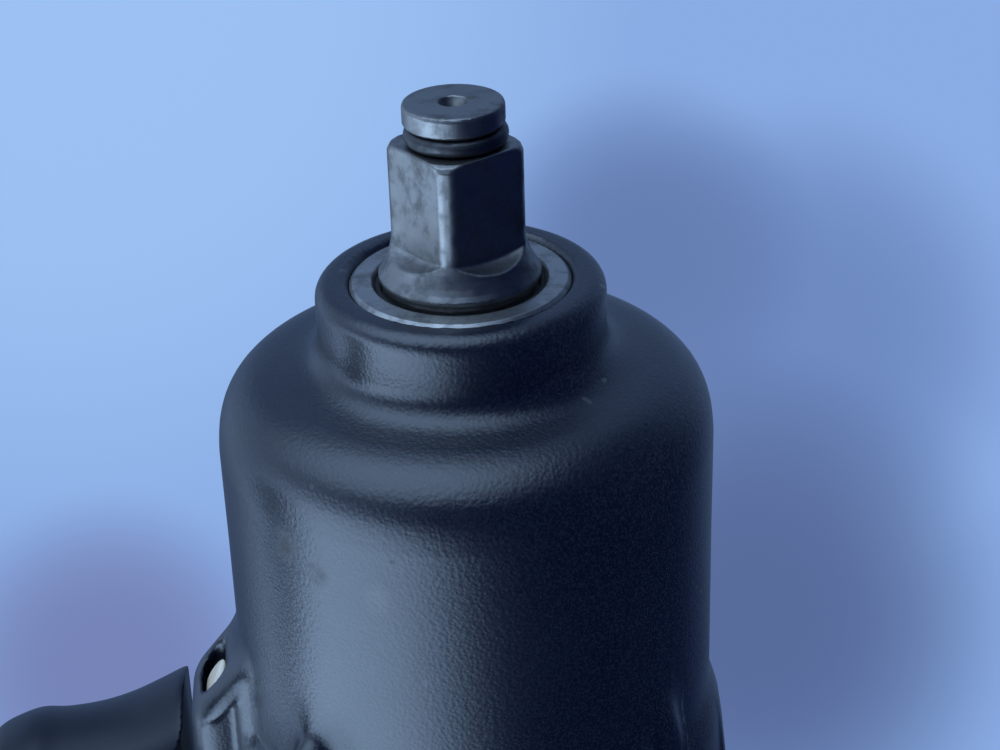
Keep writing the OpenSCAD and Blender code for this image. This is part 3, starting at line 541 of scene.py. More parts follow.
def nose_bushing(p):
    inner = JOURNAL_R + 0.05
    return lathe(p, [
        (NOSE - 22, inner), (NOSE - 22, BUSH_R), (NOSE - 0.75, BUSH_R), (NOSE - 0.25, BUSH_R - 0.5),
        (NOSE - 0.2, JOURNAL_R + 1.35), (NOSE - 0.5, JOURNAL_R + 1.1), (NOSE - 0.8, JOURNAL_R + 1),
        (NOSE - 2.4, JOURNAL_R + 1), (NOSE - 2.4, inner)])


def nose_seal(p):
    return lathe(p, [(NOSE - 2.35, JOURNAL_R + 0.06), (NOSE - 2.35, JOURNAL_R + 0.97)]
                 + arc(NOSE - 1.2, JOURNAL_R + 0.55, 0.42, 90, -60, 5) + [(NOSE - 1.9, JOURNAL_R + 0.06)])


# ---- Hammer case ----

def case_outline():
    n = NOSE
    shoulder = smooth_line([
        (n - 6.9, 17.8), (n - 8.4, 18.1), (n - 9.7, 19.0), (n - 10.5, 20.4), (n - 11.0, 22.3),
        (n - 11.4, 24.2), (n - 12.1, 26.2), (n - 13.3, 28.0), (n - 15.0, 29.5), (n - 17.3, 30.5),
        (n - 20.2, 30.95), (n - 23.5, 31.0), (n - 34, 30.95)], 3)
    hollow = [(SKIRT - 16, 27.5), (n - 29, 27.5)] + arc(n - 28.2, 21.5, 6, 90, 0, 5) + [
        (n - 22.2, BUSH_R), (n - 0.9, BUSH_R + 0.02), (n - 0.35, BUSH_R + 0.32), (n, BUSH_R + 0.75)]
    skirt = [(n - 58.5, CASE_R + 0.2), (n - 60.2, 31.7), (n - 62.5, 32.4), (n - 66, 32.9), (n - 73, BARREL_R)]
    rear = [(SKIRT, BARREL_R), (SKIRT, CASE_R - 0.5), (SKIRT - 16, CASE_R - 0.5)]
    return hollow + [(n, 15.5)] + arc(n - 2.1, 15.7, 2.1, 0, 90, 7) + shoulder + skirt + rear


BOSS_Y, BOSS_Z, BOSS_R = 24.0, 22.5, 4.4
BOSS_FRONT = NOSE - 50.9
BOSS_POINT = 12                                 # length of the bosses' pointed fronts


def case_bosses(p):
    """Four screw bosses with pointed fronts."""
    y = np.abs(p[1]) - BOSS_Y
    z = np.abs(p[2] - AXIS) - BOSS_Z
    ahead = np.maximum(p[0] - (BOSS_FRONT - BOSS_POINT), 0) / BOSS_POINT
    d = (np.sqrt((y * y + z * z) / BOSS_R ** 2 + ahead ** 2) - 1) * BOSS_R * 0.8
    return np.maximum(d, SKIRT - p[0])


def gussets(p):
    """Thin ribs beside the upper bosses."""
    turn = math.radians(40)
    up = p[2] - AXIS
    side = np.abs(p[1])
    along = side * math.sin(turn) + up * math.cos(turn)
    across = side * math.cos(turn) - up * math.sin(turn)
    rise = CASE_R - 1 + (NOSE - 50 - p[0]) * 0.42
    top = np.minimum(rise, BARREL_R)
    d = np.maximum(np.abs(across) - 1.0, (along - top) * 0.9)
    return np.maximum(np.maximum(d, SKIRT - p[0]), 20 - along)


LEDGE_HALF = 9.6
LEDGE_CORNER = 6.5
LAMP_R = 34.6                                   # the lamp's middle, from the axis
LAMP_Y = 0.8


def ledge_front(p):
    """Sloping front of the lamp ledge, which falls back towards its right side more than its left one."""
    crown = 0.2 * np.maximum(-p[1] - 3.6, 0) ** 2 + 0.06 * np.maximum(p[1] - 5, 0) ** 2
    return (p[0] - LEDGE_FRONT + crown) * LEDGE_FALL[0] - (p[2] - (AXIS - LEDGE_TOP)) * LEDGE_FALL[1]


def ledge(p):
    """Lamp ledge below the case."""
    q = np.abs(p[1]) - LEDGE_HALF + LEDGE_CORNER
    low = AXIS - LEDGE_DROP - p[2] + LEDGE_CORNER
    plan = np.hypot(np.maximum(q, 0), np.maximum(low, 0)) + np.minimum(np.maximum(q, low), 0) - LEDGE_CORNER
    d = both(plan, ledge_front(p), 1.6)
    return np.maximum(np.maximum(d, SKIRT - p[0]), p[2] - AXIS + 20)


def lamp_window(p):
    """Arc-shaped recess in the ledge's front, concentric with the case."""
    band = np.abs(radius(p) - LAMP_R)
    sides = np.abs(p[1] - LAMP_Y) - 2.6
    d = np.hypot(band, np.maximum(sides, 0)) - 1.6
    d = np.maximum(d, p[2] - AXIS + 20)
    return np.maximum(d, (LEDGE_FRONT - 12) - p[0])


def hammer_case(p):
    d = lathe(p, case_outline())
    solid = join(d, ledge(p), 2.4)
    solid = join(solid, case_bosses(p), 2.6)
    solid = join(solid, gussets(p), 0.9)
    solid = cut(solid, radius(p) - 27.5 + np.maximum(p[0] - (NOSE - 29), 0) * 4, 0.2)
    solid = cut(solid, lamp_window(p), 0.7)
    recess = both(both(ledge_front(p) + 2.2, CASE_R + 2 - radius(p), 1), 7.8 - np.abs(p[1]), 1)
    solid = cut(solid, recess, 1.4)
    y, z = np.abs(p[1]) - BOSS_Y, np.abs(p[2] - AXIS) - BOSS_Z
    screw = np.maximum(np.hypot(y, z) - 2, p[0] - (SKIRT + 15))
    return cut(solid, screw)


def lamp_lens(p):
    """Domed lamp cover set back in the window."""
    d = np.hypot(np.abs(radius(p) - LAMP_R), np.maximum(np.abs(p[1] - LAMP_Y) - 1.6, 0)) - 1.4
    d = both(d, ledge_front(p) + 1.2, 0.8)
    return np.maximum(np.maximum(d, p[2] - AXIS + 20), (LEDGE_FRONT - 11.5) - p[0])


# ---- Trigger ----

# Front profile of the trigger as (back from the nose, below the axis)
TRIGGER_FRONT = [(-56.9, 38.8), (-56.9, 39.5), (-58.3, 42.3), (-60.2, 46.5), (-61.4, 50.7), (-61.9, 55.3),
                 (-61.7, 58.7), (-62.5, 61.5), (-64.0, 64.4), (-66.2, 66.3)]


def trigger(p):
    """Trigger with a concave crowned front and a stem into the switch."""
    outline = [(NOSE + x, AXIS - drop) for x, drop in smooth_line(TRIGGER_FRONT)]
    outline += [(TRIGGER_LOW[0] + 7, TRIGGER_LOW[2]), (TRIGGER_LOW[0] + 7, TRIGGER_HIGH[2])]
    face = polygon(p[0] + 0.035 * p[1] ** 2 - 0.12 * p[1], p[2], outline)
    half = (TRIGGER_HIGH[1] - TRIGGER_LOW[1]) / 2
    d = both(face, np.abs(p[1]) - half, 4.0)
    stem = np.hypot(p[1], p[2] - (TRIGGER_LOW[2] + TRIGGER_HIGH[2]) / 2) - 2.85
    stem = np.maximum(np.maximum(stem, TRIGGER_LOW[0] - p[0]), p[0])
    return np.minimum(d, stem)


# ---- Housing ----

def column(p, depth, width):
    """Upright oval column that leans with the handle, and the height along it."""
    x = (p[0] - GRIP_X) * math.cos(LEAN) - (p[2] - FOOT_TOP) * math.sin(LEAN)
    up = (p[0] - GRIP_X) * math.sin(LEAN) + (p[2] - FOOT_TOP) * math.cos(LEAN)
    flat = np.maximum(np.abs(x) - (depth - width) / 2, 0)
    return np.hypot(flat, p[1]) - width / 2, up, x


MID_GRIP = 130


def housing_solid(p):
    """Outer form of both halves: barrel, rear screw bosses, throat, handle and battery foot."""
    barrel = rod(p, CAP_HIGH[0], SKIRT, BARREL_R, edge=0.6)
    y, z = np.abs(p[1]) - BOSS_Y, np.abs(p[2] - AXIS) - BOSS_Z
    boss = np.maximum(np.maximum(np.hypot(y, z) - BOSS_R - 0.6, p[0] - SKIRT), SKIRT - 34 - p[0])
    d = join(barrel, boss, 4)
    handle, up, _ = column(p, GRIP_DEPTH - 2 * SKIN, GRIP_WIDTH - 2 * SKIN)
    handle = np.maximum(np.maximum(handle, up - 118), -up - 8)
    handle = np.maximum(handle, p[0] - SKIRT)
    throat = slab(p, (-52, -15, TRIGGER_HIGH[2] + 0.5), (SKIRT, 15, AXIS - 12), 3)
    d = join(d, throat, 5)
    d = join(d, handle, 9)
    foot = upright_box(p, (BODY_LOW[0], -36, FOOT_BOTTOM), (BODY_HIGH[0], 36, FOOT_TOP), 12, 3.2)
    foot = np.maximum(foot, FOOT_BOTTOM - p[2])
    d = join(d, foot, 4)
    front = np.where(p[2] > MID_GRIP, SKIRT, BODY_HIGH[0] + 30)
    return np.maximum(d, p[0] - front)


def housing_hollow(p):
    """Room inside the housing, with the openings for case, trigger, selector, panel and battery rails."""
    bore = np.maximum(radius(p) - 27.2, p[0] - SKIRT - 5)
    seat = np.maximum(radius(p) - CASE_R + 0.4, SKIRT - 17 - p[0])
    d = np.minimum(bore, seat)
    handle, up, _ = column(p, GRIP_DEPTH - 2 * SKIN - 2 * WALL, GRIP_WIDTH - 2 * SKIN - 2 * WALL)
    handle = np.maximum(np.maximum(handle, up - 101), -up - 12)
    d = np.minimum(d, handle)
    mouth = slab(p, (-24, -11.35, TRIGGER_LOW[2] - 0.6), (12, 11.35, TRIGGER_HIGH[2] + 0.3), 0.5)
    d = np.minimum(d, mouth)
    inside = upright_box(p, (BODY_LOW[0] + WALL, -33.4, FOOT_BOTTOM + 10.5),
                         (BODY_HIGH[0] - WALL, 33.4, FOOT_TOP - WALL), 9, 1)
    d = np.minimum(d, inside)
    rail = np.minimum(slab(p, (-62, -21.4, FOOT_BOTTOM - 5), (BODY_HIGH[0] + 9, 21.4, FOOT_BOTTOM + 4)),
                      slab(p, (-62, -25.4, FOOT_BOTTOM + 2.6), (BODY_HIGH[0] + 9, 25.4, FOOT_BOTTOM + 8)))
    d = np.minimum(d, rail)
    d = np.minimum(d, slab(p, (-60.2, -16.2, FOOT_BOTTOM + 7.8), (-35.8, 16.2, FOOT_BOTTOM + 12)))
    select = slab(p, (SELECT_LOW[0] - 0.4, -30, SELECT_LOW[2] - 0.4),
                  (SELECT_HIGH[0] + 0.4, 30, SELECT_HIGH[2] + 0.5), 1.2)
    d = np.minimum(d, select)
    return np.minimum(d, slab(p, (PANEL_LOW[0] - 0.2, PANEL_LOW[1] - 0.2, FOOT_TOP - 5),
                              (PANEL_HIGH[0] + 0.2, PANEL_HIGH[1] + 0.2, FOOT_TOP + 1), 1.5))


def housing_detail(p, d, side):
    """Parting line, cooling slots, shallow ribs and screw recesses."""
    y = p[1] * side
    groove = np.maximum(np.abs(p[1]) - 0.35, np.abs(d) - 0.45)
    d = cut(d, groove, 0.3)
    turn = np.degrees(np.arctan2(p[2] - AXIS, y))
    for i in range(6):
        centre = -26 + 9 * i
        across = np.abs(turn - centre) * (math.pi / 180) * BARREL_R - 1.25
        along = np.abs(p[0] + 55) - 6.5
        slot = np.hypot(np.maximum(across + 1.1, 0), np.maximum(along + 1.1, 0)) - 1.1
        slot = np.maximum(slot, BARREL_R - 1.4 - radius(p))
        d = cut(d, np.maximum(slot, -y + 5), 0.5)
    belt = np.abs(p[0] + 41.5) - 0.8
    d = cut(d, np.maximum(np.maximum(belt, BARREL_R - 0.6 - radius(p)), AXIS - 12 - p[2]), 0.5)
    rim = np.maximum(np.abs(p[2] - (FOOT_TOP - 7.5)) - 0.6, np.abs(d) - 0.6)
    d = cut(d, np.maximum(rim, np.abs(p[0] + 18) - 60), 0.5)
    if side < 0:
        for x, z in ((-58, FOOT_TOP - 8), (22, FOOT_TOP - 9), (GRIP_X - 2, FOOT_TOP + 20)):
            hole = np.maximum(np.hypot(p[0] - x, p[2] - z) - 3.3, p[1] + 13)
            d = cut(d, hole, 0.6)
    hook = np.maximum(np.hypot(p[0] + 48, p[2] - (FOOT_BOTTOM + 12)) - 3.05, 25 - y)
    return cut(d, hook, 0.4)


def housing_half(side):
    def field(p):
        d = housing_detail(p, housing_solid(p), side)
        d = cut(d, housing_hollow(p), 0.4)
        return np.maximum(d, 0.05 - p[1] * side)
    return field


def grip_half(side):
    """Rubber skin with two fields of raised lozenges."""
    def field(p):
        core, up, x = column(p, GRIP_DEPTH - 2 * SKIN, GRIP_WIDTH - 2 * SKIN)
        outer, _, _ = column(p, GRIP_DEPTH, GRIP_WIDTH)
        wave = 0.55 * np.cos(up * 2 * math.pi / 21) * np.clip((x - 4) / 16, 0, 1)
        foot_end = 1.5 * np.clip(1 - (up - 1.5) / 3, 0, 1) ** 2
        top_end = 1.2 * np.clip(1 - (57.5 - up) / 3, 0, 1) ** 2
        outer = outer + 0.35 + wave + (foot_end + top_end)
        girth = np.arctan2(p[1] * side, x) * 20
        a, b = girth + up, girth - up
        studs = np.minimum(np.abs(np.sin(a * math.pi / 4.4)), np.abs(np.sin(b * math.pi / 4.4)))
        zone = np.clip((x + 21) / 2, 0, 1) * np.clip((13 - x) / 2, 0, 1)
        zone = zone * np.clip((up - 8) / 2, 0, 1) * np.clip((50 - up) / 2, 0, 1)
        outer = outer - 0.42 * np.clip(studs * 2.2 - 0.5, 0, 1) * zone
        d = both(outer * 0.8, -core + 0.08, 0.5)
        d = np.maximum(d, p[2] - (AXIS - 70))
        d = np.maximum(d, FOOT_TOP + 0.25 - p[2])
        return np.maximum(d, 0.06 - p[1] * side)
    return field


def rear_cap(p):
    """Cap with side slots, a ring grille, and four screw posts."""
    r = BARREL_R - 0.6
    back = CAP_LOW[0]
    outline = ([(back, 0)] + [(back, r - 7)] + arc(back + 6.5, r - 6.5, 6.5, 180, 90, 7)
               + [(CAP_HIGH[0], r), (CAP_HIGH[0], 0)])
    d = lathe(p, outline)
    r_in = r - 2.8
    inner = lathe(p, [(back + 2.2, 11), (back + 2.2, r_in - 5)] + arc(back + 7.2, r_in - 5, 5, 180, 90, 4)
                  + [(CAP_HIGH[0] + 3, r_in), (CAP_HIGH[0] + 3, 0), (back + 9.4, 0), (back + 9.4, 11)])
    d = cut(d, inner, 0.4)
    d = cut(d, rod(p, back + 5, back + 12, 8.05), 0.2)
    turn = np.arctan2(p[2] - AXIS, np.abs(p[1]))
    slot_pitch = math.radians(11)
    local = (np.mod(turn / slot_pitch + 0.5, 1) - 0.5) * slot_pitch * BARREL_R
    slots = np.maximum(np.abs(local) - 1.35, np.abs(turn) * BARREL_R - 3.5 * slot_pitch * BARREL_R)
    slots = np.maximum(slots, np.abs(p[0] + 73.5) - 4.5)
    d = cut(d, np.maximum(slots, 25 - radius(p)), 0.6)
    rings = np.abs(np.mod(radius(p) - 11, 3.6) - 1.8) - 0.5
    grille = np.maximum(np.maximum(rings, p[0] - back - 0.9), np.abs(radius(p) - 16.4) - 5.4)
    d = cut(d, grille, 0.4)
    for y in (-1, 1):
        for z in (-1, 1):
            at = 29 / math.sqrt(2)
            post = rod(p, back + 1.5, CAP_HIGH[0], 3.5, y * at, AXIS + z * at)
            d = np.minimum(d, np.maximum(post, radius(p) - r + 0.3))
            d = cut(d, rod(p, back - 3, back + 2.8, 2.8, y * at, AXIS + z * at), 0.4)
            d = cut(d, rod(p, back - 3, CAP_HIGH[0] + 5, 1.45, y * at, AXIS + z * at), 0.1)
    return d


# ---- Controls ----

MODE_X = 6                          # the mode button's middle
GAUGE_Y, GAUGE_Z = 8, 38            # the charge gauge button's middle

def direction_selector(p):
    d = slab(p, SELECT_LOW, SELECT_HIGH, 1.4)
    ribs = np.abs(np.mod(p[0] - SELECT_LOW[0] + 0.6, 2.2) - 1.1) - 0.35
    ends = (SELECT_HIGH[1] - 0.5) - np.abs(p[1])
    return cut(d, np.maximum(ribs, ends), 0.3)


def mode_panel(p):
    d = slab(p, PANEL_LOW, PANEL_HIGH, 0.9)
    d = cut(d, np.hypot(p[0] - MODE_X, p[1]) - 4.35, 0.3)
    for y in (-4.6, 0, 4.6):
        lamp = np.hypot(p[0] + 1.6, p[1] - y) - 0.9
        d = cut(d, np.maximum(lamp, PANEL_HIGH[2] - 0.5 - p[2]), 0.2)
    return d


def mode_button(p):
    low, high = mm_box("mode_button")
    tall = np.abs(p[2] - (low[2] + high[2]) / 2) - (high[2] - low[2]) / 2
    d = both(np.hypot(p[0] - MODE_X, p[1]) - 4.0, tall, 1.2)
    dish = np.sqrt((p[0] - MODE_X) ** 2 + p[1] ** 2 + (p[2] - high[2] - 9.0) ** 2) - 9.4
    return cut(d, dish, 0.3)


# ---- Battery ----

def battery_solid(p):
    """Outer form of the whole pack, with crowned sides and softened edges."""
    top = FOOT_BOTTOM - 0.5
    d = upright_box(p, (PACK_LOW[0], PACK_LOW[1], 0), (PACK_HIGH[0], PACK_HIGH[1], top), 11, 4.5)
    waist = np.maximum(0, 1 - np.abs(p[2] - PACK_HIGH[2]) / 4.5)
    d = d + 0.5 * waist ** 2
    for i in range(5):
        start = PACK_LOW[0] + 16 + 13 * i
        panel = upright_box(p, (start, -60, 6), (start + 9, 60, 20), 0.5, 0.5)
        depth = PACK_HIGH[1] - 1.1 - np.abs(p[1])
        d = cut(d, np.maximum(panel, depth), 0.8)
    return d


def battery_room(p):
    return slab(p, (PACK_LOW[0] + 3.5, -33.5, 3), (PACK_HIGH[0] - 3.5, 33.5, 48), 1)


def battery_lower(p):
    d = np.maximum(battery_solid(p), p[2] - PACK_HIGH[2])
    for x in (PACK_LOW[0] + 16, PACK_HIGH[0] - 16):
        for y in (-24, 24):
            d = cut(d, np.maximum(np.hypot(p[0] - x, p[1] - y) - 4, p[2] - 1.2), 0.5)
    return cut(d, battery_room(p), 0.3)


def battery_upper(p):
    d = np.maximum(battery_solid(p), PACK_HIGH[2] + 0.12 - p[2])
    top = FOOT_BOTTOM - 0.5
    neck = slab(p, (-61, -21, top - 1), (PACK_HIGH[0] - 8, 21, top + 4), 0.2)
    head = slab(p, (-61, -25, top + 3.5), (PACK_HIGH[0] - 8, 25, PACK_TOP[2]), 0.5)
    d = join(d, np.minimum(neck, head), 0.4)
    d = cut(d, battery_room(p), 0.3)
    for y in (-12, -4, 4, 12):
        d = cut(d, slab(p, (-66, y - 1.2, top + 3), (-40, y + 1.2, top + 12)), 0.3)
    slot = slab(p, (LATCH_LOW[0] - 0.4, PACK_HIGH[1] - 4.5, LATCH_LOW[2] - 0.4),
                (LATCH_HIGH[0] + 0.4, PACK_HIGH[1] + 9, LATCH_HIGH[2] + 0.4), 1.5)
    other = slab(p, (LATCH_LOW[0] - 0.4, -PACK_HIGH[1] - 9, LATCH_LOW[2] - 0.4),
                 (LATCH_HIGH[0] + 0.4, -PACK_HIGH[1] + 4.5, LATCH_HIGH[2] + 0.4), 1.5)
    d = cut(cut(d, slot, 0.6), other, 0.6)
    window = slab(p, (PACK_HIGH[0] - 3, -14, 34), (PACK_HIGH[0] + 4, 14, 42), 1)
    return cut(d, window, 0.4)


def release_button(side):
    def field(p):
        y = p[1] * side
        q = (p[0], y, p[2])
        d = slab(q, LATCH_LOW, LATCH_HIGH, 1.3)
        ribs = np.abs(np.mod(p[0] - LATCH_LOW[0] + 0.7, 3.0) - 1.5) - 0.55
        zone = np.maximum(LATCH_HIGH[1] - 0.6 - y, np.abs(p[2] - 40) - 5.2)
        return cut(d, np.maximum(ribs, zone), 0.4)
    return field


def gauge_lens(p):
    d = slab(p, GAUGE_LOW, GAUGE_HIGH, 0.7)
    return cut(d, rod(p, 0, 60, 3.35, GAUGE_Y, GAUGE_Z), 0.2)


def gauge_button(p):
    low, high = mm_box("gauge_button")
    key = rod(p, low[0], high[0], 3, GAUGE_Y, GAUGE_Z, 0.5)
    dish = 7.2 - np.sqrt((p[0] - high[0] - 7) ** 2 + (p[1] - GAUGE_Y) ** 2 + (p[2] - GAUGE_Z) ** 2)
    return both(key, dish, 0.2)


# ---- Make the pieces ----

def make_pieces():
    ax = AXIS
    piece("drive_anvil", anvil, (NOSE - 34, -23, ax - 23), (TIP + 1, 23, ax + 23), 0.26,
          ANVIL_STEEL, "anvil", ["anvil"])
    piece("retaining_ring", friction_ring, (NOSE + 17, -8, ax - 8), (NOSE + 21, 8, ax + 8), 0.16,
          RING_STEEL, "anvil", ["friction_ring"])
    piece("bushing", nose_bushing, (NOSE - 23, -15, ax - 15), (NOSE + 1, 15, ax + 15), 0.22,
          BUSH_STEEL, "housing", ["nose_bushing"])
    piece("drive_seal", nose_seal, (NOSE - 3, -11.5, ax - 11.5), (NOSE, 11.5, ax + 11.5), 0.25,
          RUBBER, "housing", ["nose_seal"])
    piece("case_front", hammer_case, (SKIRT - 18, -36, ax - 41), (NOSE + 1, 36, ax + 36), 0.6,
          COAT, "housing", ["hammer_case"])
    piece("lamp_cover", lamp_lens, (LEDGE_FRONT - 13, -9, ax - 39), (LEDGE_FRONT + 1, 9, ax - 28), 0.3,
          LENS, "housing", ["led_lens"])
    piece("trigger_lever", trigger, (TRIGGER_LOW[0] - 1, -13, TRIGGER_LOW[2] - 1),
          (TRIGGER_HIGH[0] + 2, 13, TRIGGER_HIGH[2] + 1), 0.45,
          TRIGGER_BLACK, "trigger", ["trigger"])
    for name, side in (("left", 1), ("right", -1)):
        y0, y1 = sorted((-1.5 * side, 38 * side))
        piece("body_shell_" + name, housing_half(side), (BODY_LOW[0] - 2, y0, FOOT_BOTTOM - 2),
              (BODY_HIGH[0] + 2, y1, ax + 36), 0.85,
              BODY_ORANGE, "housing", ["housing_" + name])
        g0, g1 = sorted((-1.5 * side, 20 * side))
        piece("grip_skin_" + name, grip_half(side), (-64, g0, FOOT_TOP - 2), (-6, g1, ax - 67), 0.5,
              RUBBER, "housing", ["grip_" + name])
        l0, l1 = sorted(((LATCH_LOW[1] - 1) * side, (LATCH_HIGH[1] + 1) * side))
        piece("battery_latch_" + name, release_button(side), (LATCH_LOW[0] - 1, l0, LATCH_LOW[2] - 1),
              (LATCH_HIGH[0] + 1, l1, LATCH_HIGH[2] + 1), 0.35, GREY_PLASTIC, "release_button_" + name,
              ["release_button_" + name])
    piece("end_cap", rear_cap, (CAP_LOW[0] - 1, -35, ax - 35), (CAP_HIGH[0] + 1, 35, ax + 35), 0.6,
          BLACK_PLASTIC, "housing", ["rear_cap"])
    piece("direction_button", direction_selector, SELECT_LOW - 1, SELECT_HIGH + 1, 0.35,
          TRIGGER_BLACK, "direction_selector", ["direction_selector"])
    piece("mode_plate", mode_panel, PANEL_LOW - 1, PANEL_HIGH + 1, 0.3,
          BLACK_PLASTIC, "housing", ["mode_panel"])
    piece("mode_key", mode_button, mm_box("mode_button")[0] - 1, mm_box("mode_button")[1] + 1, 0.25,
          GREY_PLASTIC, "mode_button", ["mode_button"])
    piece("battery_base", battery_lower, PACK_LOW - 2, PACK_HIGH + 2, 0.8,
          BLACK_PLASTIC, "battery", ["battery_lower_case"])
    piece("battery_cover", battery_upper, (PACK_LOW[0] - 2, -40, PACK_HIGH[2] - 1),
          (PACK_HIGH[0] + 2, 40, PACK_TOP[2] + 1), 0.8,
          BLACK_PLASTIC, "battery", ["battery_upper_case"])
    piece("gauge_window", gauge_lens, GAUGE_LOW - 1, GAUGE_HIGH + 1, 0.3,
          SMOKED, "battery", ["gauge_lens"])
    piece("gauge_key", gauge_button, mm_box("gauge_button")[0] - 1, mm_box("gauge_button")[1] + 1, 0.2,
          GREY_PLASTIC, "gauge_button", ["gauge_button"])


# ---- Floor, light and camera ----

def make_floor():
    bpy.ops.mesh.primitive_circle_add(vertices=128, radius=0.44, fill_type="NGON", location=(0, 0, 0))
    floor = bpy.context.object
    floor.name = "studio_floor"
    n = Nodes("pale_floor")
    n.put(n.shader, "Base Color", n.mix(n.noise(8, 2.0), (0.5, 0.6, 0.78), (0.53, 0.63, 0.8)))
    n.shader.inputs["Roughness"].default_value = 0.8
    floor.data.materials.append(n.material)
    floor.visible_glossy = False
    floor.visible_shadow = False


def linear(r, g, b):
    """Scene-linear colour of an 8-bit display colour."""
    return tuple(((c / 255 + 0.055) / 1.055) ** 2.4 for c in (r, g, b))


def direction(lengthwise, around):
    """Unit vector at one angle towards the nose, and another round the axis from left to top."""
    a, b = math.radians(lengthwise), math.radians(around)
    return (math.sin(a), math.cos(a) * math.cos(b), math.cos(a) * math.sin(b))


# Soft sources as (direction, inner angle, outer angle, strength, colour)
SOURCES = [
    (direction(-36, -66), 12, 54, 3.5, (0.48, 0.69, 1.0)),
    (direction(68, -70), 8, 50, 2.2, (0.48, 0.69, 1.0)),
    (direction(0, -110), 8, 52, 0.8, (0.48, 0.69, 1.0)),
    (direction(10, 170), 20, 70, 0.4, (0.38, 0.6, 1.0)),
]
AMBIENT = (0.006, 0.014, 0.07)

BACKDROP = linear(138, 172, 228)

# Painted light and painted shadow on the backdrop, seen only by the camera: a lighter patch, and darker
# patches that stand for the tool's soft shadow beside it, as (place in the frame from its middle, inner
# angle, outer angle, colour)
BACKDROP_PAINTED_LIGHT_AND_SHADOW = [
    ((-0.45, 0.4), 2, 16, linear(156, 193, 242)),
    ((0.3, 0.04), 0.5, 6.5, linear(110, 138, 193)),
    ((0.14, 0.12), 0.1, 5.0, linear(102, 127, 179)),
    ((0.25, -0.24), 0.5, 7.5, linear(88, 108, 156)),
    ((-0.39, -0.3), 0.1, 5.0, linear(118, 132, 184)),
]


class WorldNodes:
    """Short way to build the world's node tree."""

    def __init__(self):
        world = bpy.data.worlds.new("studio")
        bpy.context.scene.world = world
        world.use_nodes = True
        self.tree = world.node_tree
        self.back = self.tree.nodes["Background"]
        self.way = self.tree.nodes.new("ShaderNodeTexCoord").outputs["Generated"]

    def lobe(self, towards, inner, outer):
        """1 within inner degrees of a direction, falling smoothly to 0 at outer."""
        dot = self.tree.nodes.new("ShaderNodeVectorMath")
        dot.operation = "DOT_PRODUCT"
        self.tree.links.new(self.way, dot.inputs[0])
        dot.inputs[1].default_value = Vector(towards).normalized()
        fade = self.tree.nodes.new("ShaderNodeMapRange")
        fade.interpolation_type = "SMOOTHSTEP"
        self.tree.links.new(dot.outputs["Value"], fade.inputs["Value"])
        fade.inputs["From Min"].default_value = math.cos(math.radians(outer))
        fade.inputs["From Max"].default_value = math.cos(math.radians(inner))
        return fade.outputs["Result"]

    def blend(self, mode, fac, a, b):
        node = self.tree.nodes.new("ShaderNodeMix")
        node.data_type = "RGBA"
        node.blend_type = mode
        for index, value in ((0, fac), (6, a), (7, b)):
            if isinstance(value, bpy.types.NodeSocket):
                self.tree.links.new(value, node.inputs[index])
            else:
                node.inputs[index].default_value = value if index == 0 else (*value, 1)
        return node.outputs[2]


def make_world(view_to):
    """Pale blue backdrop for the camera with painted light and painted shadow on it, and soft sources that
    light the tool and show in its gloss.
    """
    w = WorldNodes()
    light = AMBIENT
    for towards, inner, outer, strength, colour in SOURCES:
        light = w.blend("ADD", w.lobe(towards, inner, outer), light, tuple(c * strength for c in colour))
    seen = BACKDROP
    # Painted light and the painted shadow of the tool mixed into the camera's backdrop
    for (across, up), inner, outer, colour in BACKDROP_PAINTED_LIGHT_AND_SHADOW:
        seen = w.blend("MIX", w.lobe(view_to(across, up), inner, outer), seen, colour)
    path = w.tree.nodes.new("ShaderNodeLightPath")
    w.tree.links.new(w.blend("MIX", path.outputs["Is Camera Ray"], light, seen), w.back.inputs["Color"])


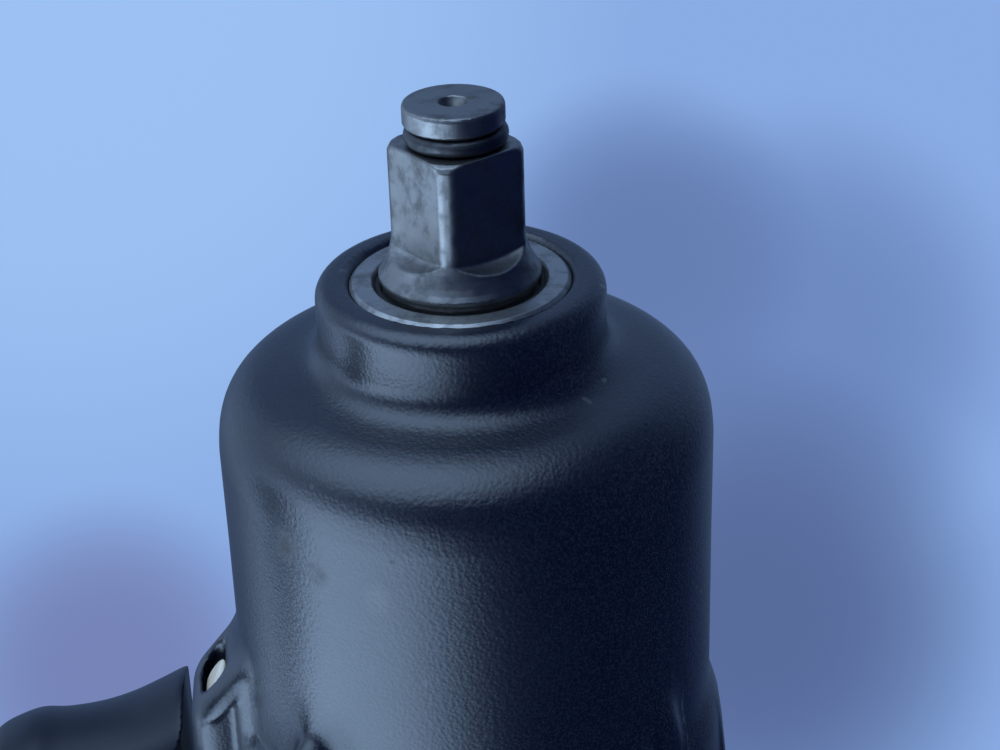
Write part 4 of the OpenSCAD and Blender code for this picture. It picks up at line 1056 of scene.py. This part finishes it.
def area_light(name, place, target, size, power, colour, glossy=True):
    data = bpy.data.lights.new(name, "AREA")
    data.energy = power
    data.shape = "RECTANGLE"
    data.size, data.size_y = size
    data.color = colour
    obj = bpy.data.objects.new(name, data)
    obj.location = place
    obj.rotation_euler = (Vector(target) - Vector(place)).to_track_quat("-Z", "Y").to_euler()
    obj.visible_glossy = glossy
    bpy.context.scene.collection.objects.link(obj)
    return obj


def make_lights():
    target = (NOSE * MM - 0.03, 0, AXIS * MM)
    area_light("side_key", (0.1, 0.75, 0.12), target, (0.5, 0.3), 0.8, (0.7, 0.85, 1.0), glossy=False)
    area_light("top_fill", (0.1, -0.1, 1.0), (0, 0, 0), (0.8, 0.8), 7.0, (0.8, 0.9, 1.0), glossy=False)


def make_camera():
    """The photograph's view, from the tool's left and in front, with the nose up in the frame."""
    roll_about_axis = math.radians(3)
    forward_of_nose, out = 114.19, 241.98
    tilt, yaw, roll = math.radians(27.92), math.radians(-0.93), math.radians(-1.88)

    def to_world(v):
        c, s = math.cos(roll_about_axis), math.sin(roll_about_axis)
        return Vector((v[0], v[2] * c - v[1] * s, -v[2] * s - v[1] * c))

    ahead = Vector((-math.sin(tilt) * math.cos(yaw), math.sin(yaw), -math.cos(tilt) * math.cos(yaw)))
    right = ahead.cross(Vector((1, 0, 0))).normalized()
    up = right.cross(ahead)
    rolled_right = right * math.cos(roll) + up * math.sin(roll)
    rolled_up = -right * math.sin(roll) + up * math.cos(roll)
    data = bpy.data.cameras.new("photo_camera")
    data.lens = 79.2
    data.sensor_width = 36.0
    data.clip_start = 0.01
    camera = bpy.data.objects.new("photo_camera", data)
    columns = [to_world(rolled_right), to_world(rolled_up), -to_world(ahead)]
    camera.matrix_world = Matrix([[c[i] for c in columns] for i in range(3)]).to_4x4()
    camera.location = (Vector((NOSE, 0, AXIS)) + to_world((forward_of_nose, 0, out))) * MM
    bpy.context.scene.collection.objects.link(camera)
    bpy.context.scene.camera = camera

    def view_to(across, up_frame):
        """Direction seen at a place in the frame, from its middle, in widths of the frame."""
        width = data.sensor_width / data.lens
        return to_world(ahead + rolled_right * (across * width) + rolled_up * (up_frame * width))

    return view_to


view_to = make_camera()
make_pieces()
dress_cad_nodes()
make_floor()
make_world(view_to)
make_lights()
bpy.context.scene.view_settings.view_transform = "Standard"
